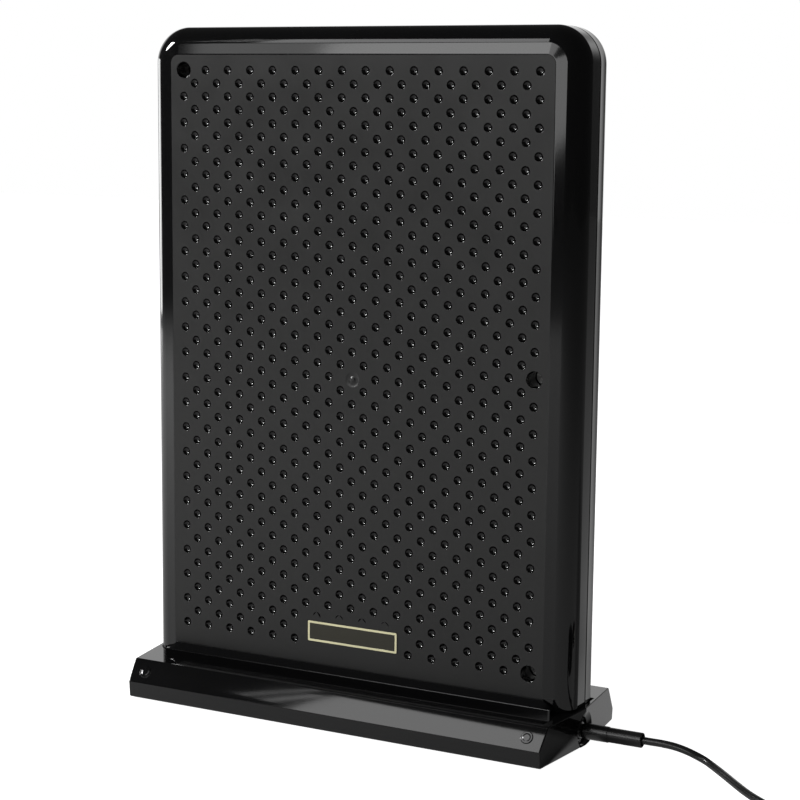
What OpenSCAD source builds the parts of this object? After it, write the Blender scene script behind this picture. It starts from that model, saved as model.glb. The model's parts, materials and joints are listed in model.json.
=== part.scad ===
/* [Panel] */
// Width of the panel across both covers
panel_w = 183; // [150:1:240]
// Height of the panel from its seat in the stand to its top
panel_h = 253.5; // [200:0.5:320]
// Thickness of the panel, from the raised face to the back
panel_t = 24.8; // [22:0.2:32]
// Radius of the panel's two top corners
corner_r = 14; // [11:0.5:20]
// Wall of both covers
wall = 2.2; // [1.6:0.1:2.8]
// Distance from the raised face back to the joint between the covers
seam_depth = 15.7; // [15.2:0.1:17]
// Radius of the back cover's rear edge
back_edge_r = 3.6; // [2:0.2:5]

/* [Raised face] */
// Distance from the panel's outline in to the flat of the raised face
flat_inset = 10.5; // [9:0.1:11]
// Distance from the panel's outline in to the foot of the raised face
foot_inset = 6.4; // [5:0.1:7.5]
// Height of the raised face above the rim
face_raise = 0.8; // [0.4:0.1:1.4]
// Depth from the raised face to the end of the rounded rim
rim_depth = 8.2; // [6:0.1:10]
// How far the rim bulges past a straight slope
rim_bulge = 1.45; // [0.6:0.05:1.8]

/* [Dimples] */
// Distance between dimples in one row
dimple_pitch = 10; // [8:0.5:16]
// Width of a dimple at the surface
dimple_d = 3.3; // [2.4:0.1:4.2]
// Depth of a dimple
dimple_depth = 1.15; // [0.6:0.05:1.4]
// Distance from the panel's sides and top to the outer dimples
dimple_margin = 16.5; // [15:0.5:22]
// Distance from the panel's bottom to the lowest dimples
bottom_margin = 17; // [15:0.5:24]

/* [Cover screws] */
// Width of the deep hole over each cover screw
screw_well_d = 6; // [5.8:0.1:6.6]
// Depth of the hole from the raised face to the screw's seat
screw_well_depth = 11; // [9:0.2:12]
// Head width of a cover screw
screw_head_d = 5.4; // [4.8:0.1:5.6]
// Shank width of a cover screw
screw_d = 2.9; // [2.4:0.1:3.2]
// Wall of the tube round each deep hole
well_wall = 1.8; // [1.4:0.1:2.2]

/* [Name plate] */
// Width of the plate
badge_w = 39.2; // [30:0.2:60]
// Height of the plate
badge_h = 8.2; // [6:0.2:9]
// Thickness of the plate
badge_t = 0.7; // [0.5:0.05:1]
// How far the plate stands to the right of the middle
badge_shift = 0.8; // [0:0.1:4]
// Distance from the panel's bottom to the plate
badge_rise = 16.9; // [16:0.1:30]

/* [Stand] */
// Depth of the stand, front to back
stand_d = 67.6; // [60:0.2:90]
// Depth of the stand's flat top
stand_top_d = 55.4; // [52:0.2:58]
// Height of the stand's top above the table
stand_h = 14.9; // [14.6:0.1:20]
// Height of the upright band in front, above the table
stand_band_h = 7; // [5:0.1:9]
// Height of the upright band at the back, above the table
rear_band_h = 5; // [4:0.1:9]
// How far the band leans in at its bottom
stand_tuck = 0.6; // [0:0.1:1.2]
// How far the stand reaches past the panel on each side, at the middle
stand_reach = 2.1; // [1.8:0.1:8]
// How much each end draws in towards the front
front_taper = 4.4; // [1:0.1:8]
// How much each end draws in towards the back
rear_taper = 2.3; // [1:0.1:8]
// Wall of the stand
stand_wall = 2.2; // [1.6:0.1:2.6]
// Depth of the seat that holds the panel
seat_depth = 3.4; // [2.6:0.1:3.6]
// Floor under the panel's seat
seat_floor = 1.8; // [1.4:0.1:1.8]
// Clearance between the panel and its seat
seat_gap = 0.25; // [0.1:0.05:0.4]
// Height of the lip in front of the panel, above the stand's top
lip_h = 4.6; // [3:0.1:6]
// Thickness of the lip, front to back
lip_t = 3.05; // [2:0.05:4]
// Upright part of the lip's front
lip_front_h = 2.1; // [1:0.1:2.6]
// How far each end of the lip slopes down
lip_ramp = 4; // [2:0.1:8]
// Width of the round marks on the front slope
mark_d = 4.5; // [3:0.1:6]

/* [Feet and bottom plate] */
// Gap that the feet leave under the stand
foot_gap = 0.5; // [0.3:0.05:1]
// Thickness of a rubber foot
foot_t = 1.5; // [1.2:0.1:1.8]
// Width of a rubber foot
foot_d = 10; // [8:0.5:12]
// Thickness of the bottom plate
plate_t = 1.6; // [1.4:0.1:2]
// Clearance round the bottom plate
plate_gap = 0.2; // [0.1:0.05:0.4]

/* [Strain relief and lead] */
// Width of the aerial lead
cord_d = 2.8; // [2.4:0.1:3]
// Height of the strain relief's middle above the table
boot_rise = 6; // [5.8:0.1:6]
// Width of the strain relief's collar
boot_d = 6; // [5.4:0.1:6.4]
// Width of its thinner sleeve
sleeve_d = 5.6; // [5:0.1:5.8]
// Length of the collar outside the stand
collar_l = 9.2; // [6:0.1:14]
// Length of the sleeve
sleeve_l = 13.2; // [8:0.1:20]

/* [Aerial plug] */
// Width of the plug's outer contact
contact_d = 9.5; // [9.4:0.01:9.6]
// Wall of the outer contact
contact_wall = 0.5; // [0.4:0.05:0.7]
// Length of the outer contact in front of the body
contact_l = 9.5; // [8:0.1:12]
// Width of the plug's pin
pin_d = 2.35; // [2.2:0.05:2.5]
// Width of the plug's moulded body
plug_d = 11.4; // [11:0.1:13]
// Length of the plug's moulded body
plug_l = 22; // [18:0.5:28]

/* [Antenna board] */
// Gap between the board's edge and the deep holes' tubes
board_side_gap = 4.2; // [3:0.1:8]
// Distance from the panel's foot to the board
board_rise = 33.5; // [30:0.5:40]
// Distance from the board to the panel's top
board_headroom = 20; // [16:0.5:30]
// Thickness of the board
board_t = 1.6; // [1.2:0.1:2]
// Thickness of the copper elements
copper_t = 0.5; // [0.3:0.05:0.8]
// Shank width of a board screw
board_screw_d = 2.2; // [1.8:0.1:2.4]

/* [Hidden] */
$fn = 48;
eps = 0.01;

// Colours
black_gloss = "#0a0a0c";
black_satin = "#2b2b2b";
rubber_black = "#171717";
steel = "#8c8c8a";
copper = "#b06a3a";
cream = "#e8dcb0";
board_tan = "#9a8a4a";
nickel = "#c8c6be";

// Heights and depths that the pieces share
panel_z = stand_h - seat_depth;
panel_top = panel_z + panel_h;
face_y = -panel_t / 2;
back_y = panel_t / 2;
seam_y = face_y + seam_depth;
seam_groove = 0.45;
seam_groove_w = 0.5;
tongue_l = 1.6;
tongue_t = 1.2;
tongue_gap = 0.15;
fit_gap = 0.1;
rim_inner_step = 1.4;
rim_wall_extra = 0.2;
ledge_l = 2.5;
ledge_slope = 1.5;

// The dimples' lattice: alternate rows are moved half a pitch
row_step = dimple_pitch / 2;
dimple_cols = floor((panel_w - 2 * dimple_margin) / dimple_pitch + 0.001) + 1;
dimple_rows = floor((panel_h - dimple_margin - bottom_margin) / row_step + 0.001) + 1;
top_row_z = panel_top - dimple_margin;
middle_row = 2 * round((dimple_rows - 1) / 4);
last_even_row = 2 * floor((dimple_rows - 1) / 2);
edge_col_x = (dimple_cols - 1) / 2 * dimple_pitch;

// The moulding's gate mark, in the place of one dimple
gate_place = [0, top_row_z - (middle_row + 1) * row_step];
gate_d = 6.2;
gate_depth = 0.3;
gate_stub_d = 1.5;
gate_stub_h = 0.2;
gate_stub_place = gate_place + [0.3, -0.6];

// Cover screws
cover_screw_places = [[-edge_col_x, top_row_z],
    [edge_col_x, top_row_z - middle_row * row_step],
    [edge_col_x, top_row_z - last_even_row * row_step]];
screw_seat_y = face_y + screw_well_depth;
well_floor = 2;
well_end_y = screw_seat_y + well_floor;
well_d = screw_well_d + 2 * well_wall;
boss_d = screw_d + 4;
cover_screw_l = 8;
head_h = 2.3;
cross_w = 0.9;
cross_l = 3;
cross_depth = 1.2;

// Stand
stand_w = panel_w + 2 * stand_reach;
stand_foot_y = stand_d / 2 - stand_tuck;
slope_angle = atan2(stand_h - stand_band_h, (stand_d - stand_top_d) / 2);
seat_under_z = panel_z - seat_floor;
lip_inset = 7;
lip_shift = 1;
lip_half_w = panel_w / 2 - lip_inset;
lip_back_gap = 0.35;
lip_drop = 0.5;
mark_inset = 10.6;
mark_x = stand_w / 2 - mark_inset;
mark_raise = 0.35;
slope_round = 1.2;
band_round = 0.5;
bottom_round = 0.8;
top_wall_share = 0.6;
plan_round = 0.4;

// Bottom plate, its screws and the feet
plate_z = foot_gap;
plate_top = plate_z + plate_t;
plate_half_d = stand_foot_y - stand_wall - plate_gap;
plate_screw_inset_x = 34;
plate_screw_inset_y = 12.1;
plate_screw_x = stand_w / 2 - plate_screw_inset_x;
plate_screw_y = stand_d / 2 - plate_screw_inset_y;
plate_boss_d = 6.4;
plate_screw_d = 2.4;
plate_head_d = 4.4;
plate_head_h = 0.9;
plate_screw_l = 8;
foot_inset_x = 16;
foot_x = stand_w / 2 - foot_inset_x;
foot_y = plate_screw_y;

// Screws that hold the panel on the stand
stand_screw_inset = 25;
stand_screw_depth = 10.4;
stand_screw_x = edge_col_x - stand_screw_inset;
stand_screw_y = face_y + stand_screw_depth;
stand_screw_reach = 7.5;
stand_boss_h = 9;
stand_boss_d = 6.2;

// Strain relief
stand_end_x = stand_w / 2;
pad_l = 2.2;
dish_l = 3;
dish_r = 5;
dish_mouth_r = 7.6;
dish_flare = 1.7;
pad_x = stand_end_x - dish_l - pad_l;
flange_l = 2.4;
flange_x = pad_x - flange_l;
flange_d = 7.2;
boot_end_x = stand_end_x + collar_l + sleeve_l;
boot_mouth_d = 4.6;
boot_mouth_l = 2;
pad_half_w = 8;

// Antenna board, its elements and the balun
board_y = 1.9;
board_w = 2 * (edge_col_x - well_d / 2 - board_side_gap);
board_h = panel_h - board_rise - board_headroom;
board_z = panel_z + board_rise;
board_screw_side = 20;
board_screw_x = board_w / 2 - board_screw_side;
board_screw_inset = 7;
board_screw_top_inset = 5;
board_head_d = 4.6;
board_head_h = 1.6;
board_screw_l = 7;
post_d = 6;
feed_share = 0.235;
feed_z = board_z + feed_share * board_h;
feed_half_gap = 2;
feed_tab_w = 5;
feed_tab_h = 9;
element_side = 14;
element_headroom = 13;
element_half_w = board_w / 2 - element_side;
element_top = board_z + board_h - element_headroom;
arm_w = 10;
arm_share = 0.23;
arm_rise = arm_share * board_h;
arm_step = 4;
hook_end_x = 10;
core_w = 14;
core_h = 12;
core_t = 7;
core_gap = 5;
core_z = feed_z + feed_tab_h + core_gap;
core_hole_d = 3.6;
core_hole_x = 3.5;
wire_d = 1;
winding_rise = 2;
winding_y = board_y - core_t / 2;

// Lead inside the panel
lead_side = 4;
lead_x = board_w / 2 - lead_side;
lead_start_x = 8;
bare_l = 4;
lead_share = 0.175;
lead_run_z = board_z + lead_share * board_h;
lead_bend_r = 5;
lead_hole_d = cord_d + 0.8;
clamp_share = 0.105;
clamp_z = board_z + clamp_share * board_h;
clamp_h = 8;
clamp_w = 16;
clamp_cover = 1;
clamp_side = 4;
clamp_screw_side = 7.5;
clamp_screw_x = lead_x - clamp_screw_side;

// Route of the lead outside the stand, along its middle
route = [[114, 0, 6], [119, 0, 6], [124, 0, 6], [129, 0, 5.6], [134, 0, 4.5], [139.5, 0.2, 2.5],
    [144, -2.6, 1.6], [148.5, -7, 1.4], [153, -12, 1.4], [157.5, -17, 1.4], [162, -21.8, 1.4],
    [167, -26.4, 1.4], [172.5, -30.6, 1.4], [179, -34.2, 1.4], [186, -36.8, 1.4], [192, -37.6, 1.4],
    [198, -37.6, 1.4], [204, -37.6, 1.4]];
coil_middle = [204, -18];
coil_mean_r = 16.8;
coil_columns = 3;
coil_layers = 4;
coil_half_w = coil_columns * cord_d / 2;
coil_h = coil_layers * cord_d;
plug_place = [225, 8, plug_d / 2];
tail = [[223.6, -18, 9.8], [223.6, -13, 9.8], [223.7, -8.5, 9.7], [223.9, -5, 9.2], [224.3, -1.5, 8.1],
    [224.8, 2, 6.8], [225, 5.5, 5.8], plug_place - [0, 1, 0], plug_place];
tie_t = 0.8;
tie_w = 4;
tie_angle = 195;

// Plug
plug_neck_d = 6.4;
plug_neck_l = 7;
grip_count = 5;
grip_depth = 0.5;
grip_w = 1;
grip_start = 3;
plug_edge = 0.6;
neck_slope = 2;
contact_inset = 3;
insulator_l = 4;
pin_l = 14;

// Points on an arc from p to q that bulges to the left of the line by s
function arc_between(p, q, s, n) =
    let (c = norm(q - p))
    let (r = (c * c / 4 + s * s) / (2 * s))
    let (along = (q - p) / c)
    let (left = [-along.y, along.x])
    let (middle = (p + q) / 2 - left * (r - s))
    let (half = asin(c / 2 / r))
    let (a = atan2(left.y, left.x))
    [for (i = [0:n]) middle + r * [cos(a + half - 2 * half * i / n), sin(a + half - 2 * half * i / n)]];

// The corner at b of a line a-b-c, rounded by r with n steps
function round_corner(a, b, c, r, n) =
    r <= 0 ? [b] :
    let (u = (a - b) / norm(a - b))
    let (v = (c - b) / norm(c - b))
    let (half = acos(u * v) / 2)
    let (middle = b + (u + v) / norm(u + v) * r / sin(half))
    let (p = b + u * r / tan(half) - middle)
    let (q = b + v * r / tan(half) - middle)
    let (a0 = atan2(p.y, p.x))
    let (turn = atan2(p.x * q.y - p.y * q.x, p * q))
    [for (i = [0:n]) middle + r * [cos(a0 + turn * i / n), sin(a0 + turn * i / n)]];

// A closed outline with each corner rounded by its own radius
function rounded(points, radii, n = 5) =
    let (count = len(points))
    [for (i = [0:count - 1])
        each round_corner(points[(i + count - 1) % count], points[i], points[(i + 1) % count], radii[i], n)];

// The panel's rim from the flat of the face to the side, as [inset, depth] pairs
function rim_points() = concat([[flat_inset, 0]],
    arc_between([foot_inset, face_raise], [0, rim_depth], rim_bulge, 8));

// The front cover's inside along the rim, as [inset, depth] pairs from the inner outline
function inner_rim_points() = [[foot_inset + rim_inner_step, wall + rim_wall_extra], [0, rim_depth + 1]];

// The panel's whole section at its foot, grown by g on every side
function panel_section(g) =
    let (right = concat([for (p = rim_points()) [panel_w / 2 - p.x + g, face_y + p.y - g]],
        [[panel_w / 2 + g, back_y + g]]))
    concat(right, [for (i = [len(right) - 1:-1:0]) [-right[i].x, right[i].y]]);

// A moulding with a flat foot and two round top corners, whose edge follows
// profile, a list of [inset, depth] pairs that starts and ends at the corners' centres
module moulding(w, z0, top, r, profile) {
    half = [for (p = profile) [w / 2 - p.x, p.y]];
    section = concat(half, [for (i = [len(half) - 1:-1:0]) [-half[i].x, half[i].y]]);
    translate([0, 0, z0]) linear_extrude(top - r - z0) polygon(section);
    translate([-(w / 2 - r), 0, top - r]) rotate([90, 0, 90])
        linear_extrude(w - 2 * r) polygon([for (p = profile) [p.y, r - p.x]]);
    for (side = [0, 1]) mirror([side, 0, 0])
        translate([w / 2 - r, 0, top - r]) rotate([-90, 0, 0]) rotate([0, 0, -90])
            rotate_extrude(angle = 90) polygon([for (p = profile) [r - p.x, p.y]]);
}

// A cylinder along y from y0 to y1
module rod_y(d, x, z, y0, y1, d2 = 0) {
    translate([x, y0, z]) rotate([-90, 0, 0]) cylinder(h = y1 - y0, d1 = d, d2 = d2 > 0 ? d2 : d);
}

// A cylinder along x from x0 to x1
module rod_x(d, y, z, x0, x1, d2 = 0) {
    translate([x0, y, z]) rotate([0, 90, 0]) cylinder(h = x1 - x0, d1 = d, d2 = d2 > 0 ? d2 : d);
}

// A cylinder along z from z0 to z1
module rod_z(d, x, y, z0, z1) {
    translate([x, y, z0]) cylinder(h = z1 - z0, d = d);
}

// A cross recess in a screw head whose face is at the origin, facing -z
module cross_recess() {
    for (turn = [0, 90]) rotate([0, 0, turn])
        translate([-cross_l / 2, -cross_w / 2, -1]) cube([cross_l, cross_w, cross_depth + 1]);
}

// A screw along +z with its head's face at the origin
module screw(head_d, head_l, d, l) {
    difference() {
        union() {
            cylinder(h = head_l, d = head_d);
            translate([0, 0, head_l]) cylinder(h = l, d = d);
        }
        cross_recess();
    }
}

// Whether a dimple at x, z keeps clear of the plate, the gate mark and the screws
function dimple_free(x, z) =
    !(abs(x - badge_shift) < (badge_w + dimple_d) / 2 + fit_gap
        && abs(z - panel_z - badge_rise - badge_h / 2) < (badge_h + dimple_d) / 2 + fit_gap)
    && norm(gate_place - [x, z]) > (gate_d + dimple_d) / 2
    && len([for (p = cover_screw_places) if (norm(p - [x, z]) < (screw_well_d + dimple_d) / 2) 1]) == 0;

// The dimples: caps of spheres sunk in the raised face
module dimples() {
    ball_r = (dimple_d * dimple_d / 4 + dimple_depth * dimple_depth) / (2 * dimple_depth);
    for (row = [0:dimple_rows - 1]) {
        z = top_row_z - row * row_step;
        shift = row % 2 == 0 ? 0 : dimple_pitch / 2;
        for (col = [0:dimple_cols - 1 - row % 2]) {
            x = -edge_col_x + shift + col * dimple_pitch;
            if (dimple_free(x, z))
                translate([x, face_y + dimple_depth - ball_r, z]) sphere(r = ball_r, $fn = 24);
        }
    }
}

// The gate mark: a shallow round recess with the stub of the gate in it
module gate_mark() {
    difference() {
        rod_y(gate_d, gate_place.x, gate_place.y, face_y - 1, face_y + gate_depth);
        rod_y(gate_stub_d, gate_stub_place.x, gate_stub_place.y, face_y + gate_depth - gate_stub_h,
            face_y + gate_depth + 1);
    }
}

// The front cover: a raised face with dimples, a rounded rim and three screw wells
module front_cover() {
    inner_w = panel_w - 2 * wall;
    inner_r = corner_r - wall;
    color(black_satin) difference() {
        union() {
            difference() {
                translate([0, face_y, 0]) moulding(panel_w, panel_z, panel_top, corner_r,
                    concat([[corner_r, 0]], rim_points(), [[0, seam_depth], [corner_r, seam_depth]]));
                translate([0, face_y, 0]) moulding(inner_w, panel_z + wall, panel_top - wall, inner_r,
                    concat([[inner_r, wall]], [[inner_rim_points()[0].x, wall]], [inner_rim_points()[1]],
                        [[0, seam_depth + 1], [inner_r, seam_depth + 1]]));
            }
            for (p = cover_screw_places) rod_y(well_d, p.x, p.y, face_y + wall - 1, well_end_y);
            for (side = [-1, 1]) rod_z(stand_boss_d, side * stand_screw_x, stand_screw_y,
                panel_z + wall - 1, panel_z + wall + stand_boss_h);
        }
        dimples();
        gate_mark();
        for (p = cover_screw_places) {
            rod_y(screw_well_d, p.x, p.y, face_y - 1, screw_seat_y);
            rod_y(screw_d + 2 * fit_gap, p.x, p.y, screw_seat_y - 1, well_end_y + 1);
        }
        for (side = [-1, 1]) rod_z(screw_d, side * stand_screw_x, stand_screw_y,
            panel_z - 1, panel_z + stand_screw_reach);
        rod_z(lead_hole_d, lead_x, 0, panel_z - 1, panel_z + wall + 1);
        translate([badge_shift - badge_w / 2, face_y - 1, panel_z + badge_rise])
            cube([badge_w, 1 + badge_t / 2, badge_h]);
    }
}

// The back cover: a shell with a tongue that fits the front cover, screw bosses and board posts
module back_cover() {
    inner_w = panel_w - 2 * wall;
    inner_r = corner_r - wall;
    rest = tongue_t + tongue_gap;
    tongue_w = inner_w - 2 * tongue_gap;
    rear_arc = round_corner([0, 0], [0, panel_t], [corner_r, panel_t], back_edge_r, 6);
    color(black_gloss) difference() {
        union() {
            difference() {
                translate([0, face_y, 0]) moulding(panel_w, panel_z, panel_top, corner_r,
                    concat([[corner_r, seam_depth], [seam_groove, seam_depth],
                        [seam_groove, seam_depth + seam_groove_w], [0, seam_depth + seam_groove_w]],
                        rear_arc, [[corner_r, panel_t]]));
                translate([0, face_y, 0]) moulding(inner_w, panel_z + wall, panel_top - wall, inner_r,
                    [[inner_r, seam_depth - 1], [rest, seam_depth - 1], [rest, seam_depth + ledge_l],
                        [0, seam_depth + ledge_l + ledge_slope], [0, panel_t - wall], [inner_r, panel_t - wall]]);
                translate([-inner_w / 2 + rest, seam_y - 1, panel_z + wall])
                    cube([inner_w - 2 * rest, 1 + eps, rest]);
            }
            difference() {
                translate([0, face_y, 0]) moulding(tongue_w, panel_z + wall + tongue_gap,
                    panel_top - wall - tongue_gap, inner_r - tongue_gap,
                    [[inner_r - tongue_gap, seam_depth - tongue_l], [0, seam_depth - tongue_l],
                        [0, seam_depth], [inner_r - tongue_gap, seam_depth]]);
                translate([0, face_y, 0]) moulding(tongue_w - 2 * tongue_t, panel_z + wall + rest,
                    panel_top - wall - rest, inner_r - rest,
                    [[inner_r - rest, seam_depth - tongue_l - 1], [0, seam_depth - tongue_l - 1],
                        [0, seam_depth + 1], [inner_r - rest, seam_depth + 1]]);
            }
            for (p = cover_screw_places) rod_y(boss_d, p.x, p.y, well_end_y, back_y - wall + 1);
            for (x = [-board_screw_x, board_screw_x], z = board_screw_heights())
                rod_y(post_d, x, z, board_y + board_t, back_y - wall + 1);
        }
        for (p = cover_screw_places) rod_y(screw_d, p.x, p.y, well_end_y - 1, screw_seat_y + cover_screw_l);
        for (x = [-board_screw_x, board_screw_x], z = board_screw_heights())
            rod_y(board_screw_d, x, z, board_y + board_t - 1, board_y + board_screw_l);
    }
}

// The name plate: a thin plate let into the face
module badge() {
    color(cream) translate([badge_shift - badge_w / 2, face_y - badge_t / 2, panel_z + badge_rise])
        cube([badge_w, badge_t, badge_h]);
}

// A cover screw deep in its hole
module cover_screw(i) {
    p = cover_screw_places[i];
    color(steel) translate([p.x, screw_seat_y - head_h, p.y]) rotate([-90, 0, 0])
        screw(screw_head_d, head_h, screw_d, cover_screw_l);
}

// Heights of the lower and upper board screws
function board_screw_heights() = [board_z + board_screw_inset, board_z + board_h - board_screw_top_inset];

// The antenna board
module antenna_board() {
    color(board_tan) difference() {
        translate([-board_w / 2, board_y, board_z]) cube([board_w, board_t, board_h]);
        for (x = [-board_screw_x, board_screw_x], z = board_screw_heights())
            rod_y(board_screw_d + 2 * fit_gap, x, z, board_y - 1, board_y + board_t + 1);
        rod_y(board_screw_d, clamp_screw_x, clamp_z + clamp_h / 2, board_y - 1, board_y + board_t + 1);
    }
}

// One copper arm: a feed tab, a slanted run and a hook along the board's side and top
module element() {
    tab_x = feed_half_gap + feed_tab_w;
    tab_z = feed_z + feed_tab_h;
    x1 = element_half_w;
    x0 = x1 - arm_w;
    z1 = element_top;
    color(copper) translate([0, board_y, 0]) rotate([90, 0, 0]) linear_extrude(copper_t)
        polygon([[feed_half_gap, feed_z], [tab_x, feed_z], [x1, feed_z + arm_rise], [x1, z1],
            [hook_end_x, z1], [hook_end_x, z1 - arm_w], [x0, z1 - arm_w], [x0, feed_z + arm_rise + arm_step],
            [tab_x - feed_half_gap, tab_z], [feed_half_gap, tab_z]]);
}

// The balun's ferrite core with its two holes
module balun_core() {
    color("#3a3a3c") difference() {
        translate([-core_w / 2, board_y - core_t, core_z]) cube([core_w, core_t, core_h]);
        for (side = [-1, 1]) rod_z(core_hole_d, side * core_hole_x, winding_y, core_z - 1, core_z + core_h + 1);
    }
}

// The balun's winding: a wire up one hole, over the core and down the other, with feet on the tabs
module balun_winding() {
    foot_z = feed_z + feed_tab_h / 2;
    color(copper) {
        for (side = [-1, 1]) {
            rod_z(wire_d, side * core_hole_x, winding_y, foot_z, core_z + core_h + winding_rise);
            rod_y(wire_d, side * core_hole_x, foot_z, winding_y, board_y - copper_t);
        }
        translate([0, winding_y, core_z + core_h + winding_rise]) rotate([90, 0, 0])
            rotate_extrude(angle = 180) translate([core_hole_x, 0]) circle(d = wire_d, $fn = 24);
    }
}

// A board screw
module board_screw(side, row) {
    color(steel) translate([side * board_screw_x, board_y - board_head_h, board_screw_heights()[row]])
        rotate([-90, 0, 0]) screw(board_head_d, board_head_h, board_screw_d, board_screw_l);
}

// The lead inside: its bare end on the board, along the board, down through the panel's foot and out to the strain relief
module inner_lead() {
    color(rubber_black) {
        rod_x(wire_d, 0, lead_run_z, lead_start_x - bare_l, lead_start_x + 1);
        rod_y(wire_d, lead_start_x - bare_l, lead_run_z, -wire_d / 2, board_y);
        rod_x(cord_d, 0, lead_run_z, lead_start_x, lead_x - lead_bend_r);
        translate([lead_x - lead_bend_r, 0, lead_run_z - lead_bend_r]) rotate([90, 0, 0])
            rotate_extrude(angle = 90) translate([lead_bend_r, 0]) circle(d = cord_d);
        rod_z(cord_d, lead_x, 0, boot_rise + lead_bend_r, lead_run_z - lead_bend_r);
        translate([lead_x + lead_bend_r, 0, boot_rise + lead_bend_r]) rotate([90, 180, 0])
            rotate_extrude(angle = 90) translate([lead_bend_r, 0]) circle(d = cord_d);
        rod_x(cord_d, 0, boot_rise, lead_x + lead_bend_r, flange_x);
    }
}

// The saddle that holds the lead on the board
module lead_clamp() {
    y0 = -cord_d / 2 - clamp_cover;
    color("#d8d4c8") difference() {
        translate([lead_x - clamp_w + clamp_side, y0, clamp_z]) cube([clamp_w, board_y - y0, clamp_h]);
        rod_z(cord_d, lead_x, 0, clamp_z - 1, clamp_z + clamp_h + 1);
        translate([lead_x - cord_d / 2, 0, clamp_z - 1]) cube([cord_d, board_y + 1, clamp_h + 2]);
        rod_y(board_screw_d, clamp_screw_x, clamp_z + clamp_h / 2, y0 - 1, board_y + 1);
    }
}

// The screw through the saddle
module clamp_screw() {
    y0 = -cord_d / 2 - clamp_cover;
    color(steel) translate([clamp_screw_x, y0 - board_head_h, clamp_z + clamp_h / 2]) rotate([-90, 0, 0])
        screw(board_head_d, board_head_h, board_screw_d, board_y + board_t - y0 + 1);
}

// The stand's outline seen from the end, as [y, z] pairs, drawn in by g
function stand_profile(g, z0) = rounded([
    [-(stand_foot_y - g), z0], [-(stand_d / 2 - g), stand_band_h], [-(stand_top_d / 2 - g * top_wall_share), stand_h - g],
    [stand_top_d / 2 - g * top_wall_share, stand_h - g], [stand_d / 2 - g, rear_band_h], [stand_foot_y - g, z0]],
    g > 0 ? [0, 0, 0, 0, 0, 0]
        : [bottom_round, band_round, slope_round, slope_round, band_round, bottom_round], 4);

// The stand's outline seen from above, as [x, y] pairs, drawn in by g
function stand_plan(g) =
    let (front = stand_w / 2 - front_taper - g)
    let (rear = stand_w / 2 - rear_taper - g)
    let (middle = stand_w / 2 - g)
    let (y = stand_d / 2 - g)
    let (r = g > 0 ? 0 : plan_round)
    rounded([[-front, -y], [front, -y], [middle, 0], [rear, y], [-rear, y], [-middle, 0]], [r, r, 0, r, r, 0], 4);

// A block with the stand's profile and plan, drawn in by g
module stand_block(g, z0) {
    intersection() {
        translate([-stand_w, 0, 0]) rotate([90, 0, 90]) linear_extrude(2 * stand_w)
            polygon(stand_profile(g, z0));
        linear_extrude(2 * stand_h) polygon(stand_plan(g));
    }
}

// The lip in front of the panel, with sloping ends
module lip() {
    back = face_y - lip_back_gap;
    front = back - lip_t;
    top = stand_h + lip_h;
    translate([lip_shift, 0, 0]) intersection() {
        translate([-lip_half_w, 0, 0]) rotate([90, 0, 90]) linear_extrude(2 * lip_half_w)
            polygon([[front, stand_h - lip_drop], [back, stand_h - lip_drop], [back, top],
                [back - lip_drop, top], [front, stand_h + lip_front_h]]);
        translate([0, back + 1, 0]) rotate([90, 0, 0]) linear_extrude(lip_t + 2)
            polygon([[-lip_half_w, stand_h - 1], [lip_half_w, stand_h - 1], [lip_half_w, stand_h + lip_front_h],
                [lip_half_w - lip_ramp, top + 0.1], [-lip_half_w + lip_ramp, top + 0.1],
                [-lip_half_w, stand_h + lip_front_h]]);
    }
}

// The raised round mark on the front slope at x
module slope_mark(x) {
    y = -(stand_d + stand_top_d) / 4;
    z = (stand_h + stand_band_h) / 2;
    translate([x, y, z]) rotate([slope_angle, 0, 0]) translate([0, 0, -1])
        cylinder(h = 1 + mark_raise, d = mark_d);
}

// The stand: an open-bottomed moulding with the panel's seat, the lip and the lead's outlet
module stand() {
    tray_y = panel_t / 2 + seat_gap + stand_wall;
    color(black_gloss) difference() {
        union() {
            difference() {
                stand_block(0, foot_gap);
                difference() {
                    stand_block(stand_wall, foot_gap - 1);
                    translate([-stand_w, -tray_y, seat_under_z]) cube([2 * stand_w, 2 * tray_y, stand_h]);
                    for (x = [-plate_screw_x, plate_screw_x], y = [-plate_screw_y, plate_screw_y])
                        rod_z(plate_boss_d, x, y, plate_top, stand_h);
                    translate([pad_x, -pad_half_w, plate_top]) cube([stand_w, 2 * pad_half_w, stand_h]);
                }
            }
            lip();
            slope_mark(-mark_x);
            slope_mark(mark_x);
        }
        translate([0, 0, panel_z]) linear_extrude(stand_h) polygon(panel_section(seat_gap));
        for (x = [-plate_screw_x, plate_screw_x], y = [-plate_screw_y, plate_screw_y])
            rod_z(plate_screw_d, x, y, plate_top - 1, plate_z + plate_head_h + plate_screw_l);
        for (side = [-1, 1]) rod_z(screw_d + 2 * fit_gap, side * stand_screw_x, stand_screw_y,
            seat_under_z - 1, panel_z + 1);
        rod_z(lead_hole_d, lead_x, 0, seat_under_z - 1, panel_z + 1);
        rod_x(boot_d + fit_gap, 0, boot_rise, pad_x - 1, stand_end_x);
        rod_x(2 * dish_r, 0, boot_rise, stand_end_x - dish_l, stand_end_x + 1);
        rod_x(2 * dish_r, 0, boot_rise, stand_end_x - dish_flare, stand_end_x + eps, 2 * dish_mouth_r);
    }
}

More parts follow.
